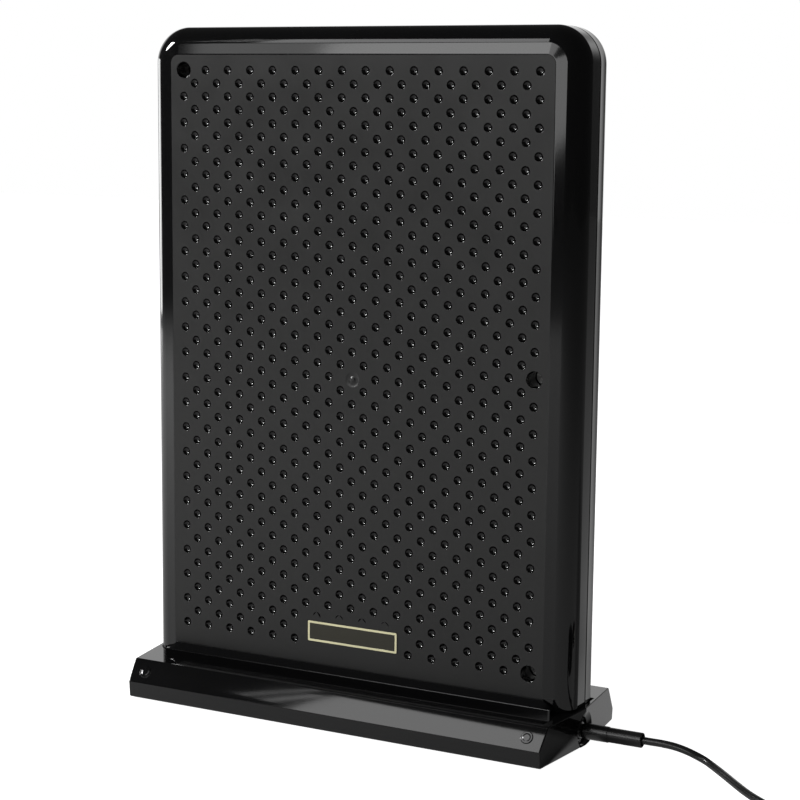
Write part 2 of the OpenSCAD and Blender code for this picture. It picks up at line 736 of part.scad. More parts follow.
// The bottom plate with its screw holes and the feet's recesses
module bottom_plate() {
    color(black_satin) difference() {
        intersection() {
            translate([0, 0, plate_z]) linear_extrude(plate_t) polygon(stand_plan(stand_wall + plate_gap));
            translate([-stand_w, -plate_half_d, 0]) cube([2 * stand_w, 2 * plate_half_d, stand_h]);
        }
        for (x = [-plate_screw_x, plate_screw_x], y = [-plate_screw_y, plate_screw_y]) {
            rod_z(plate_screw_d + 2 * fit_gap, x, y, plate_z - 1, plate_top + 1);
            rod_z(plate_head_d + 2 * fit_gap, x, y, plate_z - 1, plate_z + plate_head_h);
        }
        for (x = [-foot_x, foot_x], y = [-foot_y, foot_y]) rod_z(foot_d, x, y, plate_z - 1, foot_t);
    }
}

// A screw that holds the panel on the stand
module stand_screw(side) {
    color(steel) translate([side * stand_screw_x, stand_screw_y, seat_under_z - head_h])
        screw(screw_head_d, head_h, screw_d, seat_floor + stand_screw_reach);
}

// A screw that holds the bottom plate
module plate_screw(side, row) {
    color(steel) translate([side * plate_screw_x, row * plate_screw_y, plate_z])
        difference() {
            union() {
                cylinder(h = plate_head_h, d = plate_head_d);
                translate([0, 0, plate_head_h]) cylinder(h = plate_screw_l, d = plate_screw_d);
            }
            for (turn = [0, 90]) rotate([0, 0, turn])
                translate([-cross_l / 2, -cross_w / 2, -1]) cube([cross_l, cross_w, 1.5]);
        }
}

// A rubber foot
module foot(side, row) {
    color(rubber_black) translate([side * foot_x, row * foot_y, 0]) cylinder(h = foot_t, d = foot_d);
}

// The strain relief: a flange inside, a collar and a sleeve with an open mouth
module strain_relief() {
    color(rubber_black) difference() {
        union() {
            rod_x(flange_d, 0, boot_rise, flange_x, pad_x);
            rod_x(boot_d, 0, boot_rise, pad_x - eps, stand_end_x + collar_l);
            rod_x(sleeve_d, 0, boot_rise, stand_end_x + collar_l - eps, boot_end_x);
        }
        rod_x(boot_mouth_d, 0, boot_rise, boot_end_x - boot_mouth_l, boot_end_x + 1);
    }
}

// A tube of 8 sides along a list of points
module tube(points, d) {
    sides = 8;
    count = len(points);
    rings = [for (i = [0:count - 1])
        let (t = points[min(i + 1, count - 1)] - points[max(i - 1, 0)])
        let (along = t / norm(t))
        let (side = cross(along, [0, 0, 1]) / norm(cross(along, [0, 0, 1])))
        let (up = cross(side, along))
        each [for (k = [0:sides - 1]) points[i] + d / 2 * (side * cos(k * 360 / sides) + up * sin(k * 360 / sides))]];
    faces = concat([[for (k = [sides - 1:-1:0]) k]],
        [for (i = [0:count - 2], k = [0:sides - 1])
            [i * sides + k, i * sides + (k + 1) % sides, (i + 1) * sides + (k + 1) % sides, (i + 1) * sides + k]],
        [[for (k = [0:sides - 1]) (count - 1) * sides + k]]);
    polyhedron(points = rings, faces = faces, convexity = 6);
}

// The lead from the strain relief to the coil
module cord() {
    color(rubber_black) tube(route, cord_d);
}

// The outer shape of the coiled lead, grooved underneath for its tie and open where both ends leave
module cord_coil() {
    color(rubber_black) difference() {
        translate([coil_middle.x, coil_middle.y, 0]) rotate_extrude()
            translate([coil_mean_r - coil_half_w, 0]) square([2 * coil_half_w, coil_h]);
        translate([coil_middle.x, coil_middle.y, 0]) rotate([0, 0, tie_angle])
            translate([coil_mean_r - coil_half_w - 1, -tie_w / 2, -1]) cube([2 * coil_half_w + 2, tie_w, 1 + tie_t]);
        translate([coil_middle.x - coil_mean_r, coil_middle.y - coil_mean_r - coil_half_w - 1, -1])
            cube([coil_mean_r, 1 + cord_d, 1 + cord_d]);
        translate([coil_middle.x + coil_mean_r + coil_half_w - cord_d, coil_middle.y, coil_h - cord_d])
            cube([1 + cord_d, coil_mean_r, 1 + cord_d]);
    }
}

// The lead from the coil to the plug
module cord_tail() {
    color(rubber_black) tube(tail, cord_d);
}

// The tie round the coil's turns
module coil_tie() {
    w = 2 * (coil_half_w + tie_t);
    color("#202020") translate([coil_middle.x, coil_middle.y, 0]) rotate([0, 0, tie_angle]) difference() {
        translate([coil_mean_r - w / 2, -tie_w / 2, 0]) cube([w, tie_w, coil_h + tie_t]);
        rotate_extrude() translate([coil_mean_r - coil_half_w, tie_t]) square([2 * coil_half_w, coil_h - tie_t]);
    }
}

// Puts a piece of the plug in place; the plug's own axis is z, towards the pin
module at_plug() {
    translate(plug_place) rotate([-90, 0, 0]) children();
}

// The plug's moulded body with its grip grooves
module plug_body() {
    r = plug_d / 2;
    grip_z0 = plug_neck_l + grip_start;
    color(rubber_black) at_plug() difference() {
        rotate_extrude() polygon([[0, 0], [plug_neck_d / 2, 0], [plug_neck_d / 2, plug_neck_l - neck_slope],
            [r, plug_neck_l], [r, plug_l - 1], [r - plug_edge, plug_l], [0, plug_l]]);
        for (i = [0:grip_count - 1]) translate([0, 0, grip_z0 + 2 * grip_w * i]) difference() {
            cylinder(h = grip_w, r = r + 1);
            translate([0, 0, -1]) cylinder(h = grip_w + 2, r = r - grip_depth);
        }
        translate([0, 0, plug_l - contact_inset]) cylinder(h = contact_inset + 1, d = contact_d);
    }
}

// The plug's outer contact
module plug_contact() {
    color(nickel) at_plug() translate([0, 0, plug_l - contact_inset]) difference() {
        cylinder(h = contact_inset + contact_l, d = contact_d);
        translate([0, 0, -1]) cylinder(h = contact_inset + contact_l + 2, d = contact_d - 2 * contact_wall);
    }
}

// The disc that holds the pin in the middle of the contact
module plug_insulator() {
    color("#e6e6e0") at_plug() translate([0, 0, plug_l - contact_inset]) difference() {
        cylinder(h = insulator_l, d = contact_d - 2 * contact_wall);
        translate([0, 0, -1]) cylinder(h = insulator_l + 2, d = pin_d);
    }
}

// The plug's pin with a rounded tip
module plug_pin() {
    r = pin_d / 2;
    color(nickel) at_plug() translate([0, 0, plug_l - contact_inset]) {
        cylinder(h = pin_l - r, r = r);
        translate([0, 0, pin_l - r]) rotate_extrude() intersection() {
            circle(r = r, $fn = 24);
            square([r, r]);
        }
    }
}

front_cover();
back_cover();
badge();
cover_screw(0);  // cover_screw_top_left
cover_screw(1);  // cover_screw_middle_right
cover_screw(2);  // cover_screw_bottom_right
antenna_board();
mirror([1, 0, 0]) element();  // left_element
element();  // right_element
balun_core();
balun_winding();
board_screw(-1, 1);  // board_screw_top_left
board_screw(1, 1);  // board_screw_top_right
board_screw(-1, 0);  // board_screw_bottom_left
board_screw(1, 0);  // board_screw_bottom_right
inner_lead();
lead_clamp();
clamp_screw();
stand();
bottom_plate();
stand_screw(-1);  // stand_screw_left
stand_screw(1);  // stand_screw_right
plate_screw(-1, -1);  // plate_screw_front_left
plate_screw(1, -1);  // plate_screw_front_right
plate_screw(-1, 1);  // plate_screw_rear_left
plate_screw(1, 1);  // plate_screw_rear_right
foot(-1, -1);  // foot_front_left
foot(1, -1);  // foot_front_right
foot(-1, 1);  // foot_rear_left
foot(1, 1);  // foot_rear_right
strain_relief();
cord();
cord_coil();
cord_tail();
coil_tie();
plug_body();
plug_contact();
plug_insulator();
plug_pin();
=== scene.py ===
import json
import math

import bpy
from mathutils import Matrix, Vector
from mathutils.geometry import delaunay_2d_cdt

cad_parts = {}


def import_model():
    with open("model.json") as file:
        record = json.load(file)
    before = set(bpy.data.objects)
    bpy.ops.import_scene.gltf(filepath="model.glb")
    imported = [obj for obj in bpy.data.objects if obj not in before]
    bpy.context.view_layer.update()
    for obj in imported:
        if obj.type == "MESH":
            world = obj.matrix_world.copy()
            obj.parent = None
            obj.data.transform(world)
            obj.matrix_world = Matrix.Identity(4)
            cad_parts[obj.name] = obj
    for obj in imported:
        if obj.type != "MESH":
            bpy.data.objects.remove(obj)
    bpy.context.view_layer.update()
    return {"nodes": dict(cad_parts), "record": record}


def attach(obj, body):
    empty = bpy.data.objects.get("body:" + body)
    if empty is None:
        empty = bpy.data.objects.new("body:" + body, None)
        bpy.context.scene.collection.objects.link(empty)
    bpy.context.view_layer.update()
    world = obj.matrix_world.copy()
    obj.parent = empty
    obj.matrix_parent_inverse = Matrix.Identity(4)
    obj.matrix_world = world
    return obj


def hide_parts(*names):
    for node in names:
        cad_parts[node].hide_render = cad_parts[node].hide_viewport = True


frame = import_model()
nodes = frame["nodes"]

MM = 0.001
SCENE = bpy.context.scene

# Sizes of the CAD model, in millimetres
PANEL_W, PANEL_TOP, PANEL_FOOT, PANEL_T = 183.0, 265.0, 11.5, 24.8
FACE_Y = -12.4
CORNER_R = 14.0
CORD_D = 2.8

# Camera: angles in degrees, place in metres, focal length in the picture's pixels
TURN, DOWN, ROLL = 27.20, 8.93, 0.556
CAMERA_AT = (0.3500, -0.6533, 0.2400)
SENSOR, FOCAL_PX, PICTURE_PX = 36.0, 1946.4, 800.0


def camera():
    """The camera at the photograph's viewing angle."""
    turn, down, roll = (math.radians(a) for a in (TURN, DOWN, ROLL))
    forward = Vector((-math.sin(turn) * math.cos(down), math.cos(turn) * math.cos(down),
                      -math.sin(down)))
    level = Vector((math.cos(turn), math.sin(turn), 0.0))
    upright = level.cross(forward)
    right = level * math.cos(roll) + upright * math.sin(roll)
    up = upright * math.cos(roll) - level * math.sin(roll)
    data = bpy.data.cameras.new("camera")
    data.sensor_width = SENSOR
    data.lens = SENSOR * FOCAL_PX / PICTURE_PX
    data.clip_start = 0.01
    data.clip_end = 20.0
    obj = bpy.data.objects.new("camera", data)
    SCENE.collection.objects.link(obj)
    basis = Matrix((right, up, -forward)).transposed()
    obj.matrix_world = Matrix.Translation(Vector(CAMERA_AT)) @ basis.to_4x4()
    SCENE.camera = obj


camera()


def new_object(name, mesh, covers=()):
    """A piece on the one rigid body, which may stand for CAD nodes."""
    obj = bpy.data.objects.new(name, mesh)
    SCENE.collection.objects.link(obj)
    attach(obj, "root")
    if covers:
        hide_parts(*covers)
    return obj


def mesh_of(name, points, faces, smooth=True):
    """A mesh from points in millimetres."""
    mesh = bpy.data.meshes.new(name)
    mesh.from_pydata([[c * MM for c in p] for p in points], [], faces)
    mesh.validate()
    if smooth:
        mesh.polygons.foreach_set("use_smooth", [True] * len(mesh.polygons))
    mesh.update()
    return mesh


def spline_points(route, step):
    """Points about step apart on a smooth curve through the route."""
    pts = [Vector(p) for p in route]
    pts = [pts[0] * 2 - pts[1]] + pts + [pts[-1] * 2 - pts[-2]]
    out = []
    for a, b, c, d in zip(pts, pts[1:], pts[2:], pts[3:]):
        count = max(1, int((c - b).length / step))
        for i in range(count):
            t = i / count
            out.append(0.5 * ((2 * b) + (c - a) * t + (2 * a - 5 * b + 4 * c - d) * t * t
                              + (3 * b - a - 3 * c + d) * t ** 3))
    out.append(pts[-2])
    return out


def tube(name, path, radius, sides):
    """A round tube along a path, with closed ends."""
    side = Vector((0.0, 0.0, 1.0)).cross(path[1] - path[0]).normalized()
    points, faces = [], []
    for i, p in enumerate(path):
        along = (path[min(i + 1, len(path) - 1)] - path[max(i - 1, 0)]).normalized()
        side = (side - along * side.dot(along)).normalized()
        up = along.cross(side)
        for k in range(sides):
            a = 2 * math.pi * k / sides
            points.append(p + radius * (side * math.cos(a) + up * math.sin(a)))
    for i in range(len(path) - 1):
        for k in range(sides):
            n = (k + 1) % sides
            faces.append([i * sides + k, i * sides + n, (i + 1) * sides + n, (i + 1) * sides + k])
    faces.append(list(range(sides))[::-1])
    last = (len(path) - 1) * sides
    faces.append([last + k for k in range(sides)])
    return mesh_of(name, points, faces)


# Lead: its route to the coil, the coil's turns as (radius, height) and the free end
ROUTE = [[114, 0, 6], [119, 0, 6], [124, 0, 6], [129, 0, 5.6], [134, 0, 4.5], [139.5, 0.2, 2.5],
         [144, -2.6, 1.6], [148.5, -7, 1.4], [153, -12, 1.4], [157.5, -17, 1.4], [162, -21.8, 1.4],
         [167, -26.4, 1.4], [172.5, -30.6, 1.4], [179, -34.2, 1.4], [186, -36.8, 1.4], [192, -37.6, 1.4],
         [198, -37.6, 1.4]]
COIL_MIDDLE = (204.0, -18.0)
TURNS = [(19.6, 1.4), (16.8, 1.4), (14.0, 1.4), (14.0, 4.2), (16.8, 4.2), (19.6, 4.2),
         (19.6, 7.0), (16.8, 7.0), (14.0, 7.0), (14.0, 9.8), (16.8, 9.8), (19.6, 9.8)]
TAIL = [[223.6, -13, 9.8], [223.7, -8.5, 9.7], [223.9, -5, 9.2], [224.3, -1.5, 8.1], [224.8, 2, 6.8],
        [225, 5.5, 5.8], [225, 8, 5.7]]


def coil_points():
    """The coil's turns, 40 points each; a turn passes to the next in its last fifth."""
    steps = 40
    out = []
    for i in range(int((len(TURNS) - 0.75) * steps) + 1):
        turn, part = divmod(i / steps, 1.0)
        here = TURNS[int(turn)]
        there = TURNS[min(int(turn) + 1, len(TURNS) - 1)]
        t = max(0.0, (part - 0.8) / 0.2)
        t = t * t * (3 - 2 * t)
        r = here[0] + (there[0] - here[0]) * t
        z = here[1] + (there[1] - here[1]) * t
        a = 2 * math.pi * (part - 0.25)
        out.append(Vector((COIL_MIDDLE[0] + r * math.cos(a), COIL_MIDDLE[1] + r * math.sin(a), z)))
    return out


coil = coil_points()
lead_path = (spline_points(ROUTE + [list(coil[0])], 1.0)[:-1] + coil
             + spline_points([list(coil[-1])] + TAIL, 1.5)[1:])
lead = new_object("lead", tube("lead", lead_path, CORD_D / 2, 20),
                  ("cord", "cord_coil", "cord_tail"))


def facing(points, normals, face):
    """The face with its corners in the order that turns it the way of its normals."""
    a, b, c = (Vector(points[i]) for i in (face[0], face[1], face[2]))
    if (c - a).length < 1e-9 and len(face) > 3:
        c = Vector(points[face[3]])
    way = sum((Vector(normals[i]) for i in face), Vector())
    return face if (b - a).cross(c - a).dot(way) >= 0 else face[::-1]


def solid(name, patches):
    """A mesh from patches in millimetres, shaded by their normals.

    Each patch is (points, normals, faces, material number).
    """
    points, normals, faces, mats = [], [], [], []
    for p, n, f, m in patches:
        f = [facing(p, n, face) for face in f]
        base = len(points)
        points += [[c * MM for c in q] for q in p]
        normals += [list(Vector(q).normalized()) for q in n]
        faces += [[base + i for i in face] for face in f]
        mats += [m] * len(f)
    mesh = bpy.data.meshes.new(name)
    mesh.from_pydata(points, [], faces)
    mesh.polygons.foreach_set("use_smooth", [True] * len(faces))
    mesh.polygons.foreach_set("material_index", mats)
    mesh.update()
    mesh.normals_split_custom_set_from_vertices(normals)
    return mesh


def outline_stations(steps=24):
    """Points and outward directions along the panel's outline, from foot to foot over the top."""
    half, mid = PANEL_W / 2, PANEL_TOP - CORNER_R
    out = [((-half, PANEL_FOOT), (-1.0, 0.0)), ((-half, 140.0), (-1.0, 0.0))]
    for side, first in ((-1, 180.0), (1, 90.0)):
        for i in range(steps + 1):
            a = math.radians(first - 90.0 * i / steps)
            c, s = math.cos(a), math.sin(a)
            out.append(((side * (half - CORNER_R) + CORNER_R * c, mid + CORNER_R * s), (c, s)))
    out += [((half, 140.0), (1.0, 0.0)), ((half, PANEL_FOOT), (1.0, 0.0))]
    return out


def sweep(profile, mat):
    """A band round the panel; profile is (inset, depth, normal outwards, normal to the front)."""
    stations = outline_stations()
    points, normals, faces = [], [], []
    for (px, pz), (nx, nz) in stations:
        for inset, depth, out, front in profile:
            points.append((px - nx * inset, FACE_Y + depth, pz - nz * inset))
            normals.append((nx * out, -front, nz * out))
    n = len(profile)
    for i in range(len(stations) - 1):
        for k in range(n - 1):
            a = i * n + k
            faces.append([a, a + 1, a + n + 1, a + n])
    return points, normals, faces, mat


def arc(p, q, sag, steps):
    """Points and normals, as (inset, depth, out, front), on a bulged arc from p to q."""
    p, q = Vector(p), Vector(q)
    c = (q - p).length
    r = (c * c / 4 + sag * sag) / (2 * sag)
    along = (q - p) / c
    bulge = Vector((-along.y, along.x))
    if bulge.x > 0:
        bulge = -bulge
    middle = (p + q) / 2 - bulge * (r - sag)
    half = math.asin(c / 2 / r)
    out = []
    for i in range(steps + 1):
        a = -half + 2 * half * i / steps
        n = bulge * math.cos(a) + along * math.sin(a)
        w = middle + n * r
        out.append((w.x, w.y, -n.x, -n.y))
    return out


def revolve_y(profile, x, z, sides, mat):
    """A round patch in the face about a line along y.

    profile is (radius, depth, radial normal, front normal); a radius of 0 ends it.
    """
    points, normals, faces = [], [], []
    for radius, depth, radial, front in profile:
        count = 1 if radius == 0 else sides
        for k in range(count):
            a = 2 * math.pi * k / sides
            c, s = math.cos(a), math.sin(a)
            points.append((x + radius * c, FACE_Y + depth, z + radius * s))
            normals.append((radial * c, -front, radial * s))
    for i in range(len(profile) - 1):
        a, b = i * sides, (i + 1) * sides
        for k in range(sides):
            n = (k + 1) % sides
            if profile[i + 1][0] == 0:
                faces.append([a + k, a + n, b])
            else:
                faces.append([a + k, a + n, b + n, b + k])
    return points, normals, faces, mat


# Front cover: dimples, wells, gate mark, the name plate's place, crease, bevel and rim
DIMPLE_R, DIMPLE_DEPTH, LIP_R = 1.65, 1.15, 0.2
BALL_R = (DIMPLE_R ** 2 + DIMPLE_DEPTH ** 2) / (2 * DIMPLE_DEPTH)
TOP_ROW = PANEL_TOP - 16.5
ROWS, COLUMNS, ROW_STEP, COLUMN_STEP = 45, 16, 5.0, 10.0
FIELD_HALF = 75.0
WELLS = ((-FIELD_HALF, TOP_ROW), (FIELD_HALF, TOP_ROW - 110.0), (FIELD_HALF, TOP_ROW - 220.0))
WELL_R, WELL_DEPTH, WELL_LIP, WELL_CLEAR = 3.0, 11.0, 0.3, 5.0
GATE, GATE_R, GATE_CLEAR = (0.3, 132.9), 3.1, 3.0
BADGE_X, BADGE_Z, BADGE_W, BADGE_H = 0.8, 32.5, 39.2, 8.2
BADGE_GROOVE, BADGE_SLOT, BADGE_CLEAR = 0.6, 0.5, 0.1
FLAT_INSET, CREASE = 10.5, 0.25
BEVEL_FOOT, BEVEL_DROP, BEVEL_RUN = (6.65, 0.75), 0.8, 4.1
RIM = ((6.4, 0.8), (0.0, 8.2), 1.45)


def dimple_places():
    """The dimples' middles, left out at the wells, the name plate and the gate mark."""
    out = []
    for row in range(ROWS):
        z = TOP_ROW - ROW_STEP * row
        for col in range(COLUMNS - row % 2):
            x = -FIELD_HALF + COLUMN_STEP / 2 * (row % 2) + COLUMN_STEP * col
            near_well = min(math.hypot(x - w[0], z - w[1]) for w in WELLS) < WELL_CLEAR
            on_badge = (abs(x - BADGE_X) < BADGE_W / 2 + DIMPLE_R + BADGE_CLEAR
                        and abs(z - BADGE_Z) < BADGE_H / 2 + DIMPLE_R + BADGE_CLEAR)
            on_gate = math.hypot(x - GATE[0], z - GATE[1]) < GATE_CLEAR
            if not (near_well or on_badge or on_gate):
                out.append((x, z))
    return out


def dimple_profile():
    """From the flat face over a rounded lip into the hollow of a ball."""
    drop = BALL_R - DIMPLE_DEPTH
    lip_x = math.sqrt((BALL_R + LIP_R) ** 2 - (LIP_R + drop) ** 2)
    edge = math.asin(lip_x / (BALL_R + LIP_R))
    out = [(lip_x - LIP_R * math.sin(a), LIP_R - LIP_R * math.cos(a), -math.sin(a), math.cos(a))
           for a in (0.0, edge / 2, edge)]
    for k in (0.78, 0.52, 0.26):
        a = edge * k
        out.append((BALL_R * math.sin(a), BALL_R * math.cos(a) - drop, -math.sin(a), math.cos(a)))
    out.append((0, DIMPLE_DEPTH, 0.0, 1.0))
    return out


def lip_profile(radius, lip, depth):
    """From the flat face over a rounded lip down a straight wall."""
    out = [(radius + lip - lip * math.sin(a), lip - lip * math.cos(a), -math.sin(a), math.cos(a))
           for a in (0.0, math.pi / 6, math.pi / 3, math.pi / 2)]
    return out + [(radius, depth, -1.0, 0.0)]


def ring(x, z, radius, sides):
    """Flat points round a circle."""
    turns = [2 * math.pi * k / sides for k in range(sides)]
    return [(x + radius * math.cos(a), z + radius * math.sin(a)) for a in turns]


def field_patch(holes, inset, mat):
    """The flat of the raised face with its holes left open."""
    outer = [(px - nx * inset, pz - nz * inset) for (px, pz), (nx, nz) in outline_stations()]
    loops = [outer] + holes
    verts, edges, owner = [], [], []
    for number, loop in enumerate(loops):
        base = len(verts)
        verts += [Vector(p) for p in loop]
        owner += [number] * len(loop)
        edges += [(base + i, base + (i + 1) % len(loop)) for i in range(len(loop))]
    v, _, f, origin, _, _ = delaunay_2d_cdt(verts, edges, [], 1, 1e-5)
    owner = [owner[o[0]] if o else -1 for o in origin]
    faces = []
    for t in f:
        owners = {owner[i] for i in t}
        if len(owners) > 1 or owners == {0}:
            faces.append(list(t))
    points = [(p.x, FACE_Y, p.y) for p in v]
    return points, [(0.0, -1.0, 0.0)] * len(points), faces, mat


def front_cover():
    """The front shell: flat face with its hollows, crease, bevel, rim and side wall."""
    sides, well_sides = 20, 32
    profile = dimple_profile()
    places = dimple_places()
    holes = [ring(x, z, profile[0][0], sides) for x, z in places]
    holes += [ring(x, z, WELL_R + WELL_LIP, well_sides) for x, z in WELLS]
    holes.append(ring(*GATE, GATE_R, well_sides))
    w, h = BADGE_W / 2 + BADGE_GROOVE, BADGE_H / 2 + BADGE_GROOVE
    slot = [(BADGE_X - w, BADGE_Z - h), (BADGE_X + w, BADGE_Z - h), (BADGE_X + w, BADGE_Z + h),
            (BADGE_X - w, BADGE_Z + h)]
    holes.append(slot)
    patches = [field_patch(holes, FLAT_INSET + CREASE, 0)]
    # Material 1 is darker than the face and paints shade into the dimples, the wells and the name
    # plate's groove.
    patches += [revolve_y(profile, x, z, sides, 1) for x, z in places]
    well_wall = lip_profile(WELL_R, WELL_LIP, WELL_DEPTH)
    well_floor = [(WELL_R, WELL_DEPTH, 0.0, 1.0), (0, WELL_DEPTH, 0.0, 1.0)]
    for part in (well_wall, well_floor):
        patches += [revolve_y(part, x, z, well_sides, 1) for x, z in WELLS]
    gate_mark = [(GATE_R, 0.0, 0.0, 1.0), (2.9, 0.03, -0.3, 1.0), (2.6, 0.1, -0.35, 1.0),
                 (2.1, 0.22, -0.2, 1.0), (1.5, 0.27, 0.0, 1.0), (1.2, 0.2, 0.5, 1.0),
                 (0.9, 0.02, 0.6, 1.0), (0.5, -0.12, 0.3, 1.0), (0, -0.15, 0.0, 1.0)]
    patches.append(revolve_y(gate_mark, *GATE, well_sides, 0))
    slot_y = FACE_Y + BADGE_SLOT
    # The groove's walls and floor take material 1, whose darker colour is painted shade.
    for (x0, z0), (x1, z1), normal in zip(slot, slot[1:] + slot[:1],
                                          ((0, 0, 1), (-1, 0, 0), (0, 0, -1), (1, 0, 0))):
        wall = [(x0, FACE_Y, z0), (x1, FACE_Y, z1), (x1, slot_y, z1), (x0, slot_y, z0)]
        patches.append((wall, [normal] * 4, [[0, 1, 2, 3]], 1))
    patches.append(([(x, slot_y, z) for x, z in slot], [(0, -1, 0)] * 4, [[0, 1, 2, 3]], 1))
    slope = math.atan2(BEVEL_DROP, BEVEL_RUN)
    tilt = (math.sin(slope), math.cos(slope))
    patches.append(sweep([(FLAT_INSET + CREASE, 0.0, 0.0, 1.0), (FLAT_INSET - 0.2, 0.04, *tilt),
                          (*BEVEL_FOOT, *tilt)], 2))
    bend = arc(*RIM, 14)
    patches.append(sweep([(*BEVEL_FOOT, *tilt)] + bend[:1], 2))
    patches.append(sweep(bend + [(0.0, 8.7, 1.0, 0.0), (0.0, 15.4, 1.0, 0.0),
                                 (0.08, 15.62, 0.7, -0.7), (0.3, 15.7, 0.0, -1.0),
                                 (1.2, 15.7, 0.0, -1.0)], 3))
    return solid("front_shell", patches)


def back_cover():
    """The back shell: seam, side drawn in a little towards the back, rounded edge, flat back."""
    edge_r, edge_in, steps = 3.6, 3.45, 10
    edge = [(edge_r - edge_in * math.sin(a), PANEL_T - edge_r + edge_r * math.cos(a),
             math.sin(a), -math.cos(a))
            for a in [math.pi / 2 * (1 - i / steps) for i in range(steps + 1)]]
    profile = [(1.2, 15.7, 0.0, 1.0), (0.45, 15.7, 0.0, 1.0), (0.45, 16.2, 1.0, 0.0),
               (0.2, 16.2, 0.0, 1.0), (0.06, 16.26, 0.7, 0.7), (0.0, 16.4, 0.998, -0.06)]
    loop = [(px - nx * edge_r, FACE_Y + PANEL_T, pz - nz * edge_r)
            for (px, pz), (nx, nz) in outline_stations()]
    back = (loop, [(0.0, 1.0, 0.0)] * len(loop), [list(range(len(loop)))], 0)
    return solid("back_shell", [sweep(profile + edge, 0), back])


# Stand
STAND_HALF_W, FRONT_TAPER, REAR_TAPER, STAND_HALF_D = 93.6, 4.4, 2.3, 33.8
STAND_TOP, STAND_FOOT, STAND_EDGE, FOOT_HALF_D = 14.9, 0.5, 0.35, 33.2
OUTLET_Z, DISH_R, DISH_MOUTH_R, DISH_FLARE, DISH_L = 6.0, 5.0, 7.6, 1.7, 3.0
SEAT_GAP = 0.25
MARK_X, MARK_R, MARK_EDGE, MARK_SIDES = 83.0, 2.25, 0.2, 40
LIP_BACK, LIP_T, LIP_H, LIP_FRONT_H, LIP_RAMP = FACE_Y - 0.35, 3.05, 4.6, 2.1, 4.0
LIP_HALF, LIP_SHIFT = 84.5, 1.0


def corner(a, b, c, r, steps):
    """The corner at b of a clockwise line a-b-c rounded by r, as (point, outward normal)."""
    a, b, c = Vector(a), Vector(b), Vector(c)
    u, v = (a - b).normalized(), (c - b).normalized()
    half = u.angle(v) / 2
    middle = b + (u + v).normalized() * r / math.sin(half)
    first = Vector((u.y, -u.x))
    last = Vector((-v.y, v.x))
    turn = first.angle(last)
    out = []
    for i in range(steps + 1):
        t = turn * i / steps
        n = (first * math.sin(turn - t) + last * math.sin(t)) / math.sin(turn)
        out.append((middle + n * r, n))
    return out


def stand_profile():
    """The rounded corners of the stand's section, from its front foot over the top to its rear foot."""
    marks = [(-FOOT_HALF_D, STAND_FOOT, 0.8), (-STAND_HALF_D, 7.0, 0.5), (-27.7, STAND_TOP, 1.2),
             (27.7, STAND_TOP, 1.2), (STAND_HALF_D, 5.0, 0.5), (FOOT_HALF_D, STAND_FOOT, 0.8)]
    arcs = []
    for i, (y, z, r) in enumerate(marks):
        before, after = marks[i - 1], marks[(i + 1) % len(marks)]
        arcs.append(corner(before[:2], (y, z), after[:2], r, 5))
    return arcs


def half_width(y):
    """How far the stand reaches to each side at depth y."""
    return STAND_HALF_W - (FRONT_TAPER * -y if y < 0 else REAR_TAPER * y) / STAND_HALF_D


def plan(y0, y1):
    """The stand from above between two depths, drawn in by the rounding of its edge."""
    return [(s * (half_width(y) - STAND_EDGE), y)
            for s, y in ((-1, y0), (1, y0), (1, 0.0), (1, y1), (-1, y1), (-1, 0.0))]


def end_normal(y):
    """The outward direction of the right end's face, in front of or behind the middle."""
    slope = FRONT_TAPER / STAND_HALF_D if y < 0 else -REAR_TAPER / STAND_HALF_D
    return Vector((1.0, -slope, 0.0)).normalized()


def inside(p, loop):
    """Whether a flat point lies in a closed line."""
    hit = False
    for (ax, ay), (bx, by) in zip(loop, loop[1:] + loop[:1]):
        if (ay > p[1]) != (by > p[1]) and p[0] < ax + (p[1] - ay) / (by - ay) * (bx - ax):
            hit = not hit
    return hit


def sheet(outer, holes, lift, mat, rows=()):
    """A patch cut from a flat outline; lift turns a flat point into a point and its normal."""
    verts, edges = [], []
    for loop in [outer] + list(holes):
        base = len(verts)
        verts += [Vector(p) for p in loop]
        edges += [(base + i, base + (i + 1) % len(loop)) for i in range(len(loop))]
    for p, q in rows:
        edges.append((len(verts), len(verts) + 1))
        verts += [Vector(p), Vector(q)]
    v, _, f, _, _, _ = delaunay_2d_cdt(verts, edges, [], 0, 1e-5)
    faces = []
    for t in f:
        mid = sum((v[i] for i in t), Vector((0.0, 0.0))) / len(t)
        if inside(mid, outer) and not any(inside(mid, h) for h in holes):
            faces.append(list(t))
    used = sorted({i for t in faces for i in t})
    place = {old: new for new, old in enumerate(used)}
    lifted = [lift(v[i].x, v[i].y) for i in used]
    return [p for p, n in lifted], [n for p, n in lifted], [[place[i] for i in t] for t in faces], mat


def shaded(points, faces, mat, angle=40.0):
    """A patch whose normals are smoothed over every edge flatter than angle, large faces first."""
    points = [Vector(p) for p in points]
    areas = []
    for face in faces:
        total = Vector()
        for i in range(1, len(face) - 1):
            total += (points[face[i]] - points[face[0]]).cross(points[face[i + 1]] - points[face[0]])
        areas.append(total)
    around = {}
    for number, face in enumerate(faces):
        for i in face:
            around.setdefault(i, []).append(number)
    out, normals, made = [], [], []
    limit = math.cos(math.radians(angle))
    for number, face in enumerate(faces):
        here = areas[number].normalized()
        corners = []
        for i in face:
            n = sum((areas[k] for k in around[i] if areas[k].normalized().dot(here) > limit), Vector())
            corners.append(len(out))
            out.append(points[i])
            normals.append(n)
        made.append(corners)
    return out, normals, made, mat


